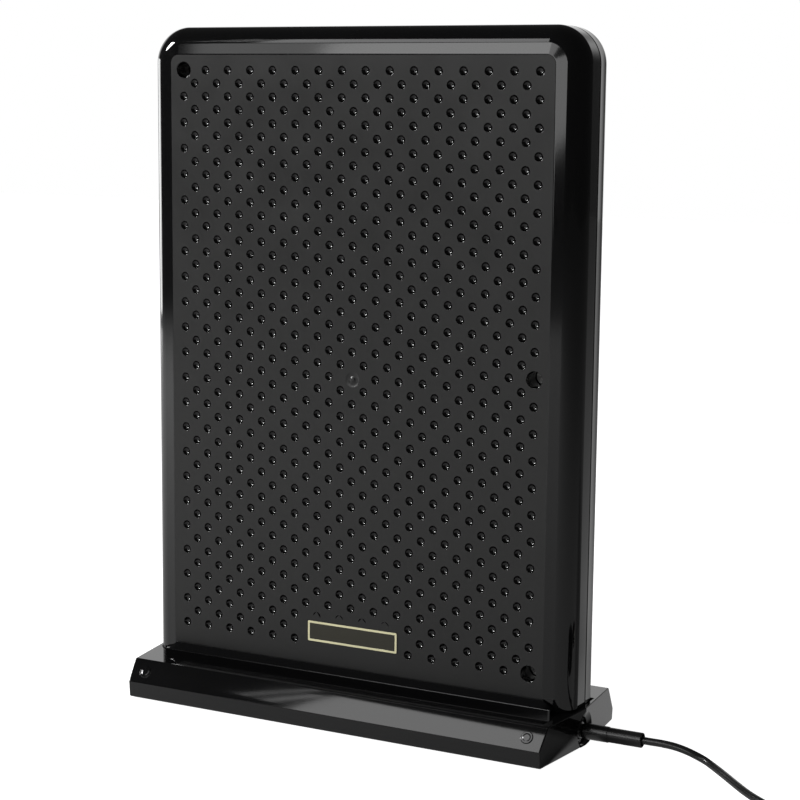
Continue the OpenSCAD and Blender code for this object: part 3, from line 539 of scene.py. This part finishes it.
def revolve(profile, origin, axis, up, sides, mat):
    """A round patch about any axis. profile is (radius, height, radial normal, axial normal)."""
    origin, axis, up = Vector(origin), Vector(axis).normalized(), Vector(up)
    side = axis.cross(up).normalized()
    up = side.cross(axis)
    points, normals, faces = [], [], []
    for radius, height, radial, axial in profile:
        for k in range(sides if radius > 0 else 1):
            a = 2 * math.pi * k / sides
            way = up * math.cos(a) + side * math.sin(a)
            points.append(origin + axis * height + way * radius)
            normals.append(way * radial + axis * axial)
    start = 0
    for (r0, *_), (r1, *_) in zip(profile, profile[1:]):
        a, b = start, start + (sides if r0 > 0 else 1)
        for k in range(sides):
            n = (k + 1) % sides
            if r1 == 0:
                faces.append([a + k, a + n, b])
            elif r0 == 0:
                faces.append([a, b + n, b + k])
            else:
                faces.append([a + k, a + n, b + n, b + k])
        start = b
    return points, normals, faces, mat


def panel_section(g):
    """The panel's section at its foot grown by g, as flat (x, y) points."""
    right = [(PANEL_W / 2 - FLAT_INSET + g, FACE_Y - g)]
    right += [(PANEL_W / 2 - inset + g, FACE_Y + depth - g) for inset, depth, _, _ in arc(*RIM, 8)]
    right.append((PANEL_W / 2 + g, FACE_Y + PANEL_T + g))
    return right + [(-x, y) for x, y in reversed(right)]


def dish_edge(a):
    """Where the outlet's mouth meets the stand's end, at angle a from the top to the back."""
    taper = REAR_TAPER if math.sin(a) > 0 else FRONT_TAPER
    steep = (DISH_MOUTH_R - DISH_R) / DISH_FLARE
    r = DISH_MOUTH_R / (1 + steep * taper / STAND_HALF_D * abs(math.sin(a)))
    return r * math.sin(a), OUTLET_Z + r * math.cos(a)


def stand_skin(arcs):
    """The strips along the stand, its top with the panel's slot and its front slope with the marks."""
    edge = STAND_EDGE
    patches = []
    foot_front, band_front, crest, crest_rear, band_rear, foot_rear = arcs

    def strip(run):
        points, normals, faces = [], [], []
        for p, n in run:
            for side in (-1, 1):
                points.append((side * (half_width(p.x) - edge), p.x, p.y))
                normals.append((0.0, n.x, n.y))
        for i in range(len(run) - 1):
            faces.append([2 * i, 2 * i + 1, 2 * i + 3, 2 * i + 2])
        return points, normals, faces, 0

    patches.append(strip(foot_front + band_front))
    patches.append(strip(crest))
    patches.append(strip(crest_rear + band_rear + foot_rear))

    patches.append(sheet(plan(crest[-1][0].x, crest_rear[0][0].x), [panel_section(SEAT_GAP)],
                         lambda x, y: ((x, y, STAND_TOP), (0, 0, 1)), 0))

    low, high = band_front[-1], crest[0]
    run = high[0] - low[0]
    length = run.length
    bulge, turn = 0.12, math.radians(3.0)

    def lift(x, s):
        t = s / length
        p = low[0] + run * t + low[1] * bulge * 4 * t * (1 - t)
        tilt = turn * (1 - 2 * t)
        n = low[1] * math.cos(tilt) - run / length * math.sin(tilt)
        return (x, p.x, p.y), (0.0, n.x, n.y)

    w0, w1 = half_width(low[0].x) - edge, half_width(high[0].x) - edge
    outer = [(-w0, 0.0), (w0, 0.0), (w1, length), (-w1, length)]
    holes = [ring(s * MARK_X, length / 2, MARK_R + MARK_EDGE, MARK_SIDES) for s in (-1, 1)]
    rows = [((-w0 - (w1 - w0) * t, t * length), (w0 + (w1 - w0) * t, t * length))
            for t in (0.2, 0.4, 0.6, 0.8)]
    patches.append(sheet(outer, holes, lift, 0, rows))
    spot, way = lift(0.0, length / 2)
    mark = [(MARK_R + MARK_EDGE, 0.0, 0.0, 1.0), (MARK_R + 0.06, 0.04, 0.7, 0.7),
            (MARK_R, 0.12, 1.0, 0.0), (MARK_R, 0.2, 1.0, 0.0), (MARK_R - 0.04, 0.28, 0.8, 0.6),
            (MARK_R - 0.15, 0.35, 0.0, 1.0), (MARK_R - 0.6, 0.35, 0.0, 1.0),
            (MARK_R - 0.8, 0.28, 0.3, 1.0), (MARK_R - 1.1, 0.25, 0.0, 1.0), (0, 0.25, 0.0, 1.0)]
    for s in (-1, 1):
        patches.append(revolve(mark, (s * MARK_X, spot[1], spot[2]), way, (0, 0, 1), MARK_SIDES, 0))
    return patches


def stand_ends(arcs):
    """The stand's two ends with their rounded edges, the right one open for the outlet."""
    edge = STAND_EDGE
    loop = [pair for a in arcs for pair in a]
    middle = [i for i in range(len(loop)) if loop[i][0].x < 0 <= loop[(i + 1) % len(loop)][0].x][0]
    loop.insert(middle + 1, (Vector((0.0, STAND_TOP)), Vector((0.0, 1.0))))
    down = Vector((0.0, -1.0))
    loop += [(Vector((y, STAND_FOOT)), down) for y in (4.9, 0.0, -4.4)]
    steps = 4
    patches = []
    for side in (-1, 1):
        points, normals, faces = [], [], []
        for (p, n), (q, m) in zip(loop, loop[1:] + loop[:1]):
            mid = (p.x + q.x) / 2
            if side == 1 and p.y == q.y == STAND_FOOT and abs(mid) < 4.8:
                continue
            out = end_normal(mid)
            base = len(points)
            for spot, way in ((p, n), (q, m)):
                for k in range(steps + 1):
                    a = math.pi / 2 * k / steps
                    s = spot - way * edge * (1 - math.cos(a))
                    points.append((side * (half_width(spot.x) - edge * (1 - math.sin(a))), s.x, s.y))
                    normal = Vector((0.0, way.x, way.y)) * math.cos(a) + out * math.sin(a)
                    normals.append((side * normal.x, normal.y, normal.z))
            for k in range(steps):
                faces.append([base + k, base + k + 1, base + steps + 2 + k, base + steps + 1 + k])
        patches.append((points, normals, faces, 0))
        flat = [p - n * edge for p, n in loop]
        top, bottom = (0.0, STAND_TOP - edge), (0.0, STAND_FOOT + edge)
        for part in (-1, 1):
            outer = [(p.x, p.y) for p in flat if p.x * part > 1e-6]
            outer = [top] + outer + [bottom] if part == 1 else sorted_half(outer + [top, bottom])
            holes = []
            if side == 1:
                holes = [[dish_edge(2 * math.pi * (k + 0.5) / 48) for k in range(48)]]
            out = end_normal(part)
            end_way = (side * out.x, out.y, 0.0)
            patches.append(sheet(outer, holes, lambda y, z: ((side * half_width(y), y, z), end_way), 0))
    return patches


def sorted_half(outer):
    """The corners of a convex outline in order round their middle."""
    mid = sum((Vector(p) for p in outer), Vector((0.0, 0.0))) / len(outer)
    return sorted(outer, key=lambda p: math.atan2(p[1] - mid.y, p[0] - mid.x))


def dish():
    """The flared hollow round the strain relief."""
    sides, ease, hole_r = 48, 0.25, 2.9
    steep = (DISH_MOUTH_R - DISH_R) / DISH_FLARE
    angle = math.atan(steep)
    floor_x = STAND_HALF_W - DISH_L
    points, normals, faces = [], [], []
    for k in range(sides):
        a = 2 * math.pi * (k + 0.5) / sides
        s, c = math.sin(a), math.cos(a)
        y, z = dish_edge(a)
        radial, axial = -math.cos(angle), math.sin(angle)
        bend_r, bend_x = DISH_R + ease, STAND_HALF_W - DISH_FLARE
        row = [((half_width(y), y, z), radial, axial),
               ((bend_x + ease / steep, bend_r * s, OUTLET_Z + bend_r * c), radial, axial),
               ((bend_x - 0.1, DISH_R * s, OUTLET_Z + DISH_R * c), -1.0, 0.0),
               ((floor_x, DISH_R * s, OUTLET_Z + DISH_R * c), -1.0, 0.0),
               ((floor_x, DISH_R * s, OUTLET_Z + DISH_R * c), 0.0, 1.0),
               ((floor_x, hole_r * s, OUTLET_Z + hole_r * c), 0.0, 1.0)]
        for p, r, x in row:
            low = p[2] < STAND_FOOT
            points.append((p[0], p[1], STAND_FOOT if low else p[2]))
            normals.append((0.0, 0.0, 1.0) if low else (x, r * s, r * c))
    n, sharp = 6, 3
    for k in range(sides):
        j = (k + 1) % sides
        for i in range(n - 1):
            if i != sharp:
                faces.append([k * n + i, k * n + i + 1, j * n + i + 1, j * n + i])
    return [(points, normals, faces, 0)]


def stand_seat_and_foot(arcs):
    """The slot's walls and floor, and the rim under the stand with its inner wall."""
    patches = []
    loop = panel_section(SEAT_GAP)
    points, faces = [], []
    for x, y in loop:
        points += [(x, y, STAND_TOP), (x, y, PANEL_FOOT)]
    count = len(loop)
    for i in range(count):
        j = (i + 1) % count
        faces.append([2 * i, 2 * j, 2 * j + 1, 2 * i + 1])
    patches.append(shaded(points, faces, 0))
    patches.append(sheet(loop, [], lambda x, y: ((x, y, PANEL_FOOT), (0, 0, 1)), 0))

    outer = plan(arcs[0][0][0].x, arcs[5][-1][0].x)
    wall, ceiling = 2.2, 3.0
    front, rear = STAND_HALF_W - FRONT_TAPER - wall, STAND_HALF_W - REAR_TAPER - wall
    y_in = FOOT_HALF_D - wall
    inner = [(-front, -y_in), (front, -y_in), (STAND_HALF_W - wall, 0.0), (rear, y_in), (-rear, y_in),
             (-STAND_HALF_W + wall, 0.0)]
    drop = OUTLET_Z - STAND_FOOT
    notch = [(STAND_HALF_W - DISH_FLARE + (drop - DISH_R) * DISH_FLARE / (DISH_MOUTH_R - DISH_R), 0.0),
             (93.1, -4.3), (94.5, -5.6), (94.5, 5.6), (93.2, 4.4)]
    patches.append(sheet(outer, [inner, notch], lambda x, y: ((x, y, STAND_FOOT), (0, 0, -1)), 0))
    points, faces = [], []
    for x, y in inner:
        points += [(x, y, STAND_FOOT), (x, y, ceiling)]
    for i in range(6):
        j = (i + 1) % 6
        faces.append([2 * i, 2 * i + 1, 2 * j + 1, 2 * j])
    patches.append(shaded([Vector(p) for p in points], faces, 0))
    return patches


def lip():
    """The lip in front of the panel, with a bevelled front and sloping ends."""
    back, front, top = LIP_BACK, LIP_BACK - LIP_T, STAND_TOP + LIP_H
    marks = [(front, STAND_TOP - 0.2, 0.0), (front, STAND_TOP + LIP_FRONT_H, 0.5),
             (back - 0.5, top, 0.25), (back, top, 0.2), (back, STAND_TOP - 0.2, 0.0)]
    section = [Vector(marks[0][:2])]
    for before, here, after in zip(marks, marks[1:], marks[2:]):
        section += [p for p, n in corner(before[:2], here[:2], after[:2], here[2], 4)]
    section.append(Vector(marks[4][:2]))
    edge = 0.3
    stations = [(0.0, edge), (edge * 0.3, edge * 0.3), (edge, 0.0)]
    stations += [(d, 0.0) for d in (1.0, 1.5, 2.0, 2.5, 3.0, 3.5, 4.0)]
    points = []
    places = [(-LIP_HALF + d, inset, d) for d, inset in stations]
    places += [(LIP_HALF - d, inset, d) for d, inset in reversed(stations)]
    mid_y = (front + back) / 2
    for x, inset, d in places:
        ramp = STAND_TOP + LIP_FRONT_H + (LIP_H - LIP_FRONT_H) * min(1.0, d / LIP_RAMP)
        for p in section:
            y = p.x + (inset if p.x < mid_y else -inset) * (1 if p.y < STAND_TOP + 3 else 0)
            z = min(p.y, ramp - inset)
            points.append((x + LIP_SHIFT, y, z))
    n = len(section)
    faces = []
    for i in range(len(places) - 1):
        for k in range(n - 1):
            faces.append([i * n + k, (i + 1) * n + k, (i + 1) * n + k + 1, i * n + k + 1])
    faces.append(list(range(n)))
    last = (len(places) - 1) * n
    faces.append([last + k for k in range(n)][::-1])
    return [shaded(points, faces, 0, 35.0)]


def stand():
    """The whole stand shell."""
    arcs = stand_profile()
    return solid("stand_shell", stand_skin(arcs) + stand_ends(arcs) + dish()
                 + stand_seat_and_foot(arcs) + lip())


front = new_object("front_shell", front_cover(), ("front_cover",))
back = new_object("back_shell", back_cover(), ("back_cover",))
stand_shell = new_object("stand_shell", stand(), ("stand",))


def rounded_box(w, h, r, steps=6):
    """A rectangle with round corners, as flat points round its middle."""
    out = []
    for i, (sx, sy) in enumerate(((1, 1), (-1, 1), (-1, -1), (1, -1))):
        for k in range(steps + 1):
            a = math.pi / 2 * (i + k / steps)
            out.append((sx * (w / 2 - r) + r * math.cos(a), sy * (h / 2 - r) + r * math.sin(a)))
    return out


def stack(levels, mat, cap=False):
    """A band over rounded rectangles; levels is (inset from the plate's edge, height over the face)."""
    points, faces = [], []
    for inset, rise in levels:
        loop = rounded_box(BADGE_W - 2 * inset, BADGE_H - 2 * inset, max(0.08, 0.45 - inset * 0.4))
        points += [(BADGE_X - x, FACE_Y - rise, BADGE_Z + z) for x, z in loop]
        count = len(loop)
    for i in range(len(levels) - 1):
        for k in range(count):
            n = (k + 1) % count
            faces.append([i * count + k, (i + 1) * count + k, (i + 1) * count + n, i * count + n])
    if cap:
        faces.append([(len(levels) - 1) * count + k for k in range(count)][::-1])
    return shaded(points, faces, mat, 30.0)


def badge():
    """The bare name plate: a dark plate with a cream frame line printed thick on its edge."""
    return solid("name_plate", [
        stack([(0.0, -0.45), (0.0, 0.22), (0.08, 0.30)], 0),
        stack([(0.08, 0.30), (0.10, 0.35), (0.88, 0.35), (0.92, 0.31)], 1),
        stack([(0.92, 0.31), (1.0, 0.30)], 0, cap=True)])


def boot():
    """The strain relief: a collar with rounded edges, a thinner sleeve and its open mouth."""
    collar, sleeve, mouth = 3.0, 2.8, 2.3
    x0, step, end = 90.3, 102.8, 116.0

    def bend(r, x, size, way):
        return [(r - size + size * math.cos(a), x - way * size + way * size * math.sin(a),
                 math.cos(a), way * math.sin(a)) for a in (0.0, 0.4, 0.8, 1.2, math.pi / 2)]

    profile = [(3.6, x0, 1.0, 0.0), (3.6, x0 + 0.9, 1.0, 0.0)]
    profile += [(2.8 + 0.8 * math.cos(a), x0 + 0.9 + 0.8 * math.sin(a), math.cos(a), math.sin(a))
                for a in (0.4, 0.8, 1.2, math.pi / 2)]
    profile += [(2.6, x0 + 1.75, 0.3, 1.0), (2.55, x0 + 2.0, 1.0, 0.0), (2.55, x0 + 2.5, 1.0, -0.2)]
    profile += [(collar - 0.3 + 0.3 * math.sin(a), x0 + 3.0 - 0.3 * math.cos(a),
                 math.sin(a), -math.cos(a)) for a in (0.4, 0.8, 1.2, math.pi / 2)]
    profile += bend(collar, step, 0.2, 1)
    profile += [(sleeve, step + 0.02, 1.0, 0.0)]
    profile += bend(sleeve, end, 0.3, 1)
    profile += [(mouth + 0.15, end, 0.0, 1.0), (mouth, end - 0.15, -1.0, 0.2), (mouth, 114.0, -1.0, 0.0),
                (mouth, 114.0, 0.0, 1.0), (1.2, 114.0, 0.0, 1.0)]
    return solid("boot", [revolve(profile, (0, 0, OUTLET_Z), (1, 0, 0), (0, 0, 1), 48, 0)])


plate = new_object("name_plate", badge(), ("badge",))
relief = new_object("boot", boot(), ("strain_relief",))


TONE_SPREAD, CLOUD_SCALE, GRAIN_SIZE = 0.15, 60.0, 0.4


def material(name):
    """A new node material, its nodes and its links."""
    mat = bpy.data.materials.new(name)
    mat.use_nodes = True
    return mat, mat.node_tree.nodes, mat.node_tree.links


def plastic(name, color, rough, grain, metallic=0.0):
    """A plastic, rubber or metal with slight colour and roughness variation and a fine grain."""
    mat, n, l = material(name)
    shader = n["Principled BSDF"]
    coord = n.new("ShaderNodeTexCoord")
    cloud = n.new("ShaderNodeTexNoise")
    cloud.inputs["Scale"].default_value = CLOUD_SCALE
    cloud.inputs["Detail"].default_value = 4.0
    l.new(coord.outputs["Object"], cloud.inputs["Vector"])
    tone = n.new("ShaderNodeMapRange")
    tone.inputs["To Min"].default_value = 1.0 - TONE_SPREAD
    tone.inputs["To Max"].default_value = 1.0 + TONE_SPREAD
    l.new(cloud.outputs["Fac"], tone.inputs["Value"])
    shade = n.new("ShaderNodeVectorMath")
    shade.operation = "SCALE"
    shade.inputs[0].default_value = color
    l.new(tone.outputs["Result"], shade.inputs["Scale"])
    l.new(shade.outputs["Vector"], shader.inputs["Base Color"])
    gloss = n.new("ShaderNodeMapRange")
    gloss.inputs["To Min"].default_value = rough * 0.85
    gloss.inputs["To Max"].default_value = rough * 1.15
    l.new(cloud.outputs["Fac"], gloss.inputs["Value"])
    l.new(gloss.outputs["Result"], shader.inputs["Roughness"])
    shader.inputs["Metallic"].default_value = metallic
    fine = n.new("ShaderNodeTexNoise")
    fine.inputs["Scale"].default_value = 1.0 / (GRAIN_SIZE * MM)
    fine.inputs["Detail"].default_value = 2.0
    l.new(coord.outputs["Object"], fine.inputs["Vector"])
    bump = n.new("ShaderNodeBump")
    bump.inputs["Strength"].default_value = 1.0
    bump.inputs["Distance"].default_value = grain * MM
    l.new(fine.outputs["Fac"], bump.inputs["Height"])
    l.new(bump.outputs["Normal"], shader.inputs["Normal"])
    return mat


FACE = plastic("face_plastic", (0.0060, 0.0060, 0.0058), 0.38, grain=0.012)
# The hollows' plastic: its lower roughness is their polish, and its base colour, darker than the face's,
# is painted shade.
CUPS_PAINTED_SHADE = plastic("polished_cups_painted_shade", (0.0015, 0.0015, 0.0015), 0.12, grain=0.002)
GLOSS = plastic("gloss_black", (0.0026, 0.0026, 0.0028), 0.06, grain=0.0010)
RUBBER = plastic("rubber_black", (0.012, 0.012, 0.012), 0.24, grain=0.012)
STEEL = plastic("steel", (0.45, 0.45, 0.44), 0.35, grain=0.01, metallic=1.0)
COPPER = plastic("copper", (0.72, 0.36, 0.2), 0.35, grain=0.01, metallic=1.0)
BOARD = plastic("board", (0.42, 0.36, 0.16), 0.6, grain=0.03)
FERRITE = plastic("ferrite", (0.06, 0.06, 0.065), 0.5, grain=0.03)
CREAM = plastic("cream", (0.78, 0.74, 0.47), 0.45, grain=0.01)
PLATE = plastic("plate_dark", (0.020, 0.018, 0.009), 0.30, grain=0.01)
NYLON = plastic("pale_plastic", (0.7, 0.68, 0.6), 0.5, grain=0.02)
TIE = plastic("tie_plastic", (0.03, 0.03, 0.03), 0.4, grain=0.02)
NICKEL = plastic("nickel", (0.7, 0.68, 0.63), 0.2, grain=0.004, metallic=1.0)

SLOT_MATERIALS = {
    "face_plastic": FACE, "gloss_black": GLOSS, "rubber_black": RUBBER, "steel": STEEL,
    "copper": COPPER, "board": BOARD, "ferrite": FERRITE, "cream": CREAM, "pale_plastic": NYLON,
    "tie_plastic": TIE, "nickel": NICKEL,
}


def paint(obj, mat):
    """The object in one material."""
    obj.data.materials.clear()
    obj.data.materials.append(mat)


paint(lead, RUBBER)
# The second slot is the hollows' material, with shade painted into its colour.
for mat in (FACE, CUPS_PAINTED_SHADE, GLOSS, GLOSS):
    front.data.materials.append(mat)
for mat in (PLATE, CREAM):
    plate.data.materials.append(mat)
paint(relief, RUBBER)
paint(back, GLOSS)
paint(stand_shell, GLOSS)
for part in frame["record"]["subparts"]:
    node = nodes[part["node"]]
    for holder in node.material_slots:
        holder.material = SLOT_MATERIALS[part["material_slot"]]


# Floor and light; places and distances in metres
BACKDROP_WAY = (-0.45, 0.893, 0.0)
BACKDROP_EDGE, BACKDROP_TOP = (0.66, 0.74), (0.33, 0.42)
OBJECT_ON_FLOOR = (0.09, -0.03, 0.0)
LAMP_AIM, LAMP_REACH = (0.0, 0.0, 0.13), 1.3
FLOOR_HALF = 3000


def behind(n, l, way, high):
    """A level that goes from 0 to high where a direction points to the white backdrop behind."""
    dot = n.new("ShaderNodeVectorMath")
    dot.operation = "DOT_PRODUCT"
    l.new(way, dot.inputs[0])
    dot.inputs[1].default_value = BACKDROP_WAY
    ramp = n.new("ShaderNodeMapRange")
    ramp.interpolation_type = "SMOOTHSTEP"
    ramp.inputs["From Min"].default_value, ramp.inputs["From Max"].default_value = BACKDROP_EDGE
    ramp.inputs["To Max"].default_value = high
    l.new(dot.outputs["Value"], ramp.inputs["Value"])
    return ramp.outputs["Result"]


def floor():
    """A white floor that keeps the object's shadow."""
    corners = [[x * FLOOR_HALF, y * FLOOR_HALF, 0] for x, y in ((-1, -1), (1, -1), (1, 1), (-1, 1))]
    mesh = mesh_of("floor", corners, [[0, 1, 2, 3]], False)
    obj = bpy.data.objects.new("floor", mesh)
    SCENE.collection.objects.link(obj)
    mat, n, l = material("floor")
    shader = n["Principled BSDF"]
    shader.inputs["Base Color"].default_value = (0.8, 0.8, 0.8, 1.0)
    shader.inputs["Roughness"].default_value = 0.7
    path = n.new("ShaderNodeLightPath")
    coord = n.new("ShaderNodeTexCoord")
    away = n.new("ShaderNodeVectorMath")
    away.operation = "SUBTRACT"
    l.new(coord.outputs["Object"], away.inputs[0])
    away.inputs[1].default_value = OBJECT_ON_FLOOR
    way = n.new("ShaderNodeVectorMath")
    way.operation = "NORMALIZE"
    l.new(away.outputs["Vector"], way.inputs[0])
    mirrored = n.new("ShaderNodeMath")
    mirrored.operation = "MULTIPLY"
    l.new(path.outputs["Is Glossy Ray"], mirrored.inputs[0])
    l.new(behind(n, l, way.outputs["Vector"], 0.5), mirrored.inputs[1])
    pick = n.new("ShaderNodeMath")
    pick.operation = "MAXIMUM"
    l.new(path.outputs["Is Camera Ray"], pick.inputs[0])
    l.new(mirrored.outputs["Value"], pick.inputs[1])
    glow = n.new("ShaderNodeEmission")
    glow.inputs["Color"].default_value = (1.0, 1.0, 1.0, 1.0)
    l.new(pick.outputs["Value"], glow.inputs["Strength"])
    add = n.new("ShaderNodeAddShader")
    l.new(shader.outputs["BSDF"], add.inputs[0])
    l.new(glow.outputs["Emission"], add.inputs[1])
    l.new(add.outputs["Shader"], n["Material Output"].inputs["Surface"])
    paint(obj, mat)


def toward(left, up):
    """The way to a point left degrees left of straight in front and up degrees above the table."""
    a, b = math.radians(left), math.radians(up)
    return Vector((-math.sin(a) * math.cos(b), -math.cos(a) * math.cos(b), math.sin(b)))


def softbox(name, left, up, wide, high, level, roll=0.0):
    """A softbox seen from the object at an angle, wide and high degrees across and level bright."""
    way = toward(left, up)
    data = bpy.data.lights.new(name, "AREA")
    data.shape = "RECTANGLE"
    data.size = 2 * LAMP_REACH * math.tan(math.radians(wide / 2))
    data.size_y = 2 * LAMP_REACH * math.tan(math.radians(high / 2))
    data.energy = level * math.pi * data.size * data.size_y
    obj = bpy.data.objects.new(name, data)
    SCENE.collection.objects.link(obj)
    aim = way.to_track_quat("Z", "Y").to_matrix() @ Matrix.Rotation(math.radians(roll), 3, "Z")
    obj.rotation_euler = aim.to_euler()
    obj.location = Vector(LAMP_AIM) + way * LAMP_REACH
    obj.visible_camera = False


def world(level, white):
    """White to the camera; for reflections and light a dim studio with a low white backdrop."""
    sky = bpy.data.worlds.new("studio")
    SCENE.world = sky
    sky.use_nodes = True
    n, l = sky.node_tree.nodes, sky.node_tree.links
    back = n["Background"]
    back.inputs["Color"].default_value = (1.0, 1.0, 1.0, 1.0)
    coord = n.new("ShaderNodeTexCoord")
    split = n.new("ShaderNodeSeparateXYZ")
    l.new(coord.outputs["Generated"], split.inputs[0])
    height = n.new("ShaderNodeMapRange")
    height.interpolation_type = "SMOOTHSTEP"
    height.inputs["From Min"].default_value, height.inputs["From Max"].default_value = BACKDROP_TOP
    height.inputs["To Min"].default_value = white - level
    height.inputs["To Max"].default_value = 0.0
    l.new(split.outputs["Z"], height.inputs["Value"])
    mix = n.new("ShaderNodeMath")
    mix.operation = "MULTIPLY_ADD"
    l.new(height.outputs["Result"], mix.inputs[0])
    l.new(behind(n, l, coord.outputs["Generated"], 1.0), mix.inputs[1])
    mix.inputs[2].default_value = level
    path = n.new("ShaderNodeLightPath")
    pick = n.new("ShaderNodeMath")
    pick.operation = "MAXIMUM"
    l.new(path.outputs["Is Camera Ray"], pick.inputs[0])
    l.new(mix.outputs["Value"], pick.inputs[1])
    l.new(pick.outputs["Value"], back.inputs["Strength"])


floor()
world(0.05, 1.0)
softbox("key", 61.0, 27.0, 10.0, 14.0, 62.0)
softbox("front_box", 11.0, 17.0, 15.0, 40.0, 2.8, roll=45.0)
softbox("band_box", 27.7, 26.6, 19.0, 7.0, 1.9)
softbox("slope_box", 33.0, 42.0, 13.0, 14.0, 3.4, roll=16.0)
softbox("slope_edge", 43.1, 41.0, 0.5, 8.0, 3.0, roll=16.0)
softbox("strip", 45.2, 42.0, 0.35, 10.0, 3.0, roll=16.0)
softbox("side", 101.0, 2.5, 22.0, 15.0, 5.0)

SCENE.view_settings.view_transform = "Standard"
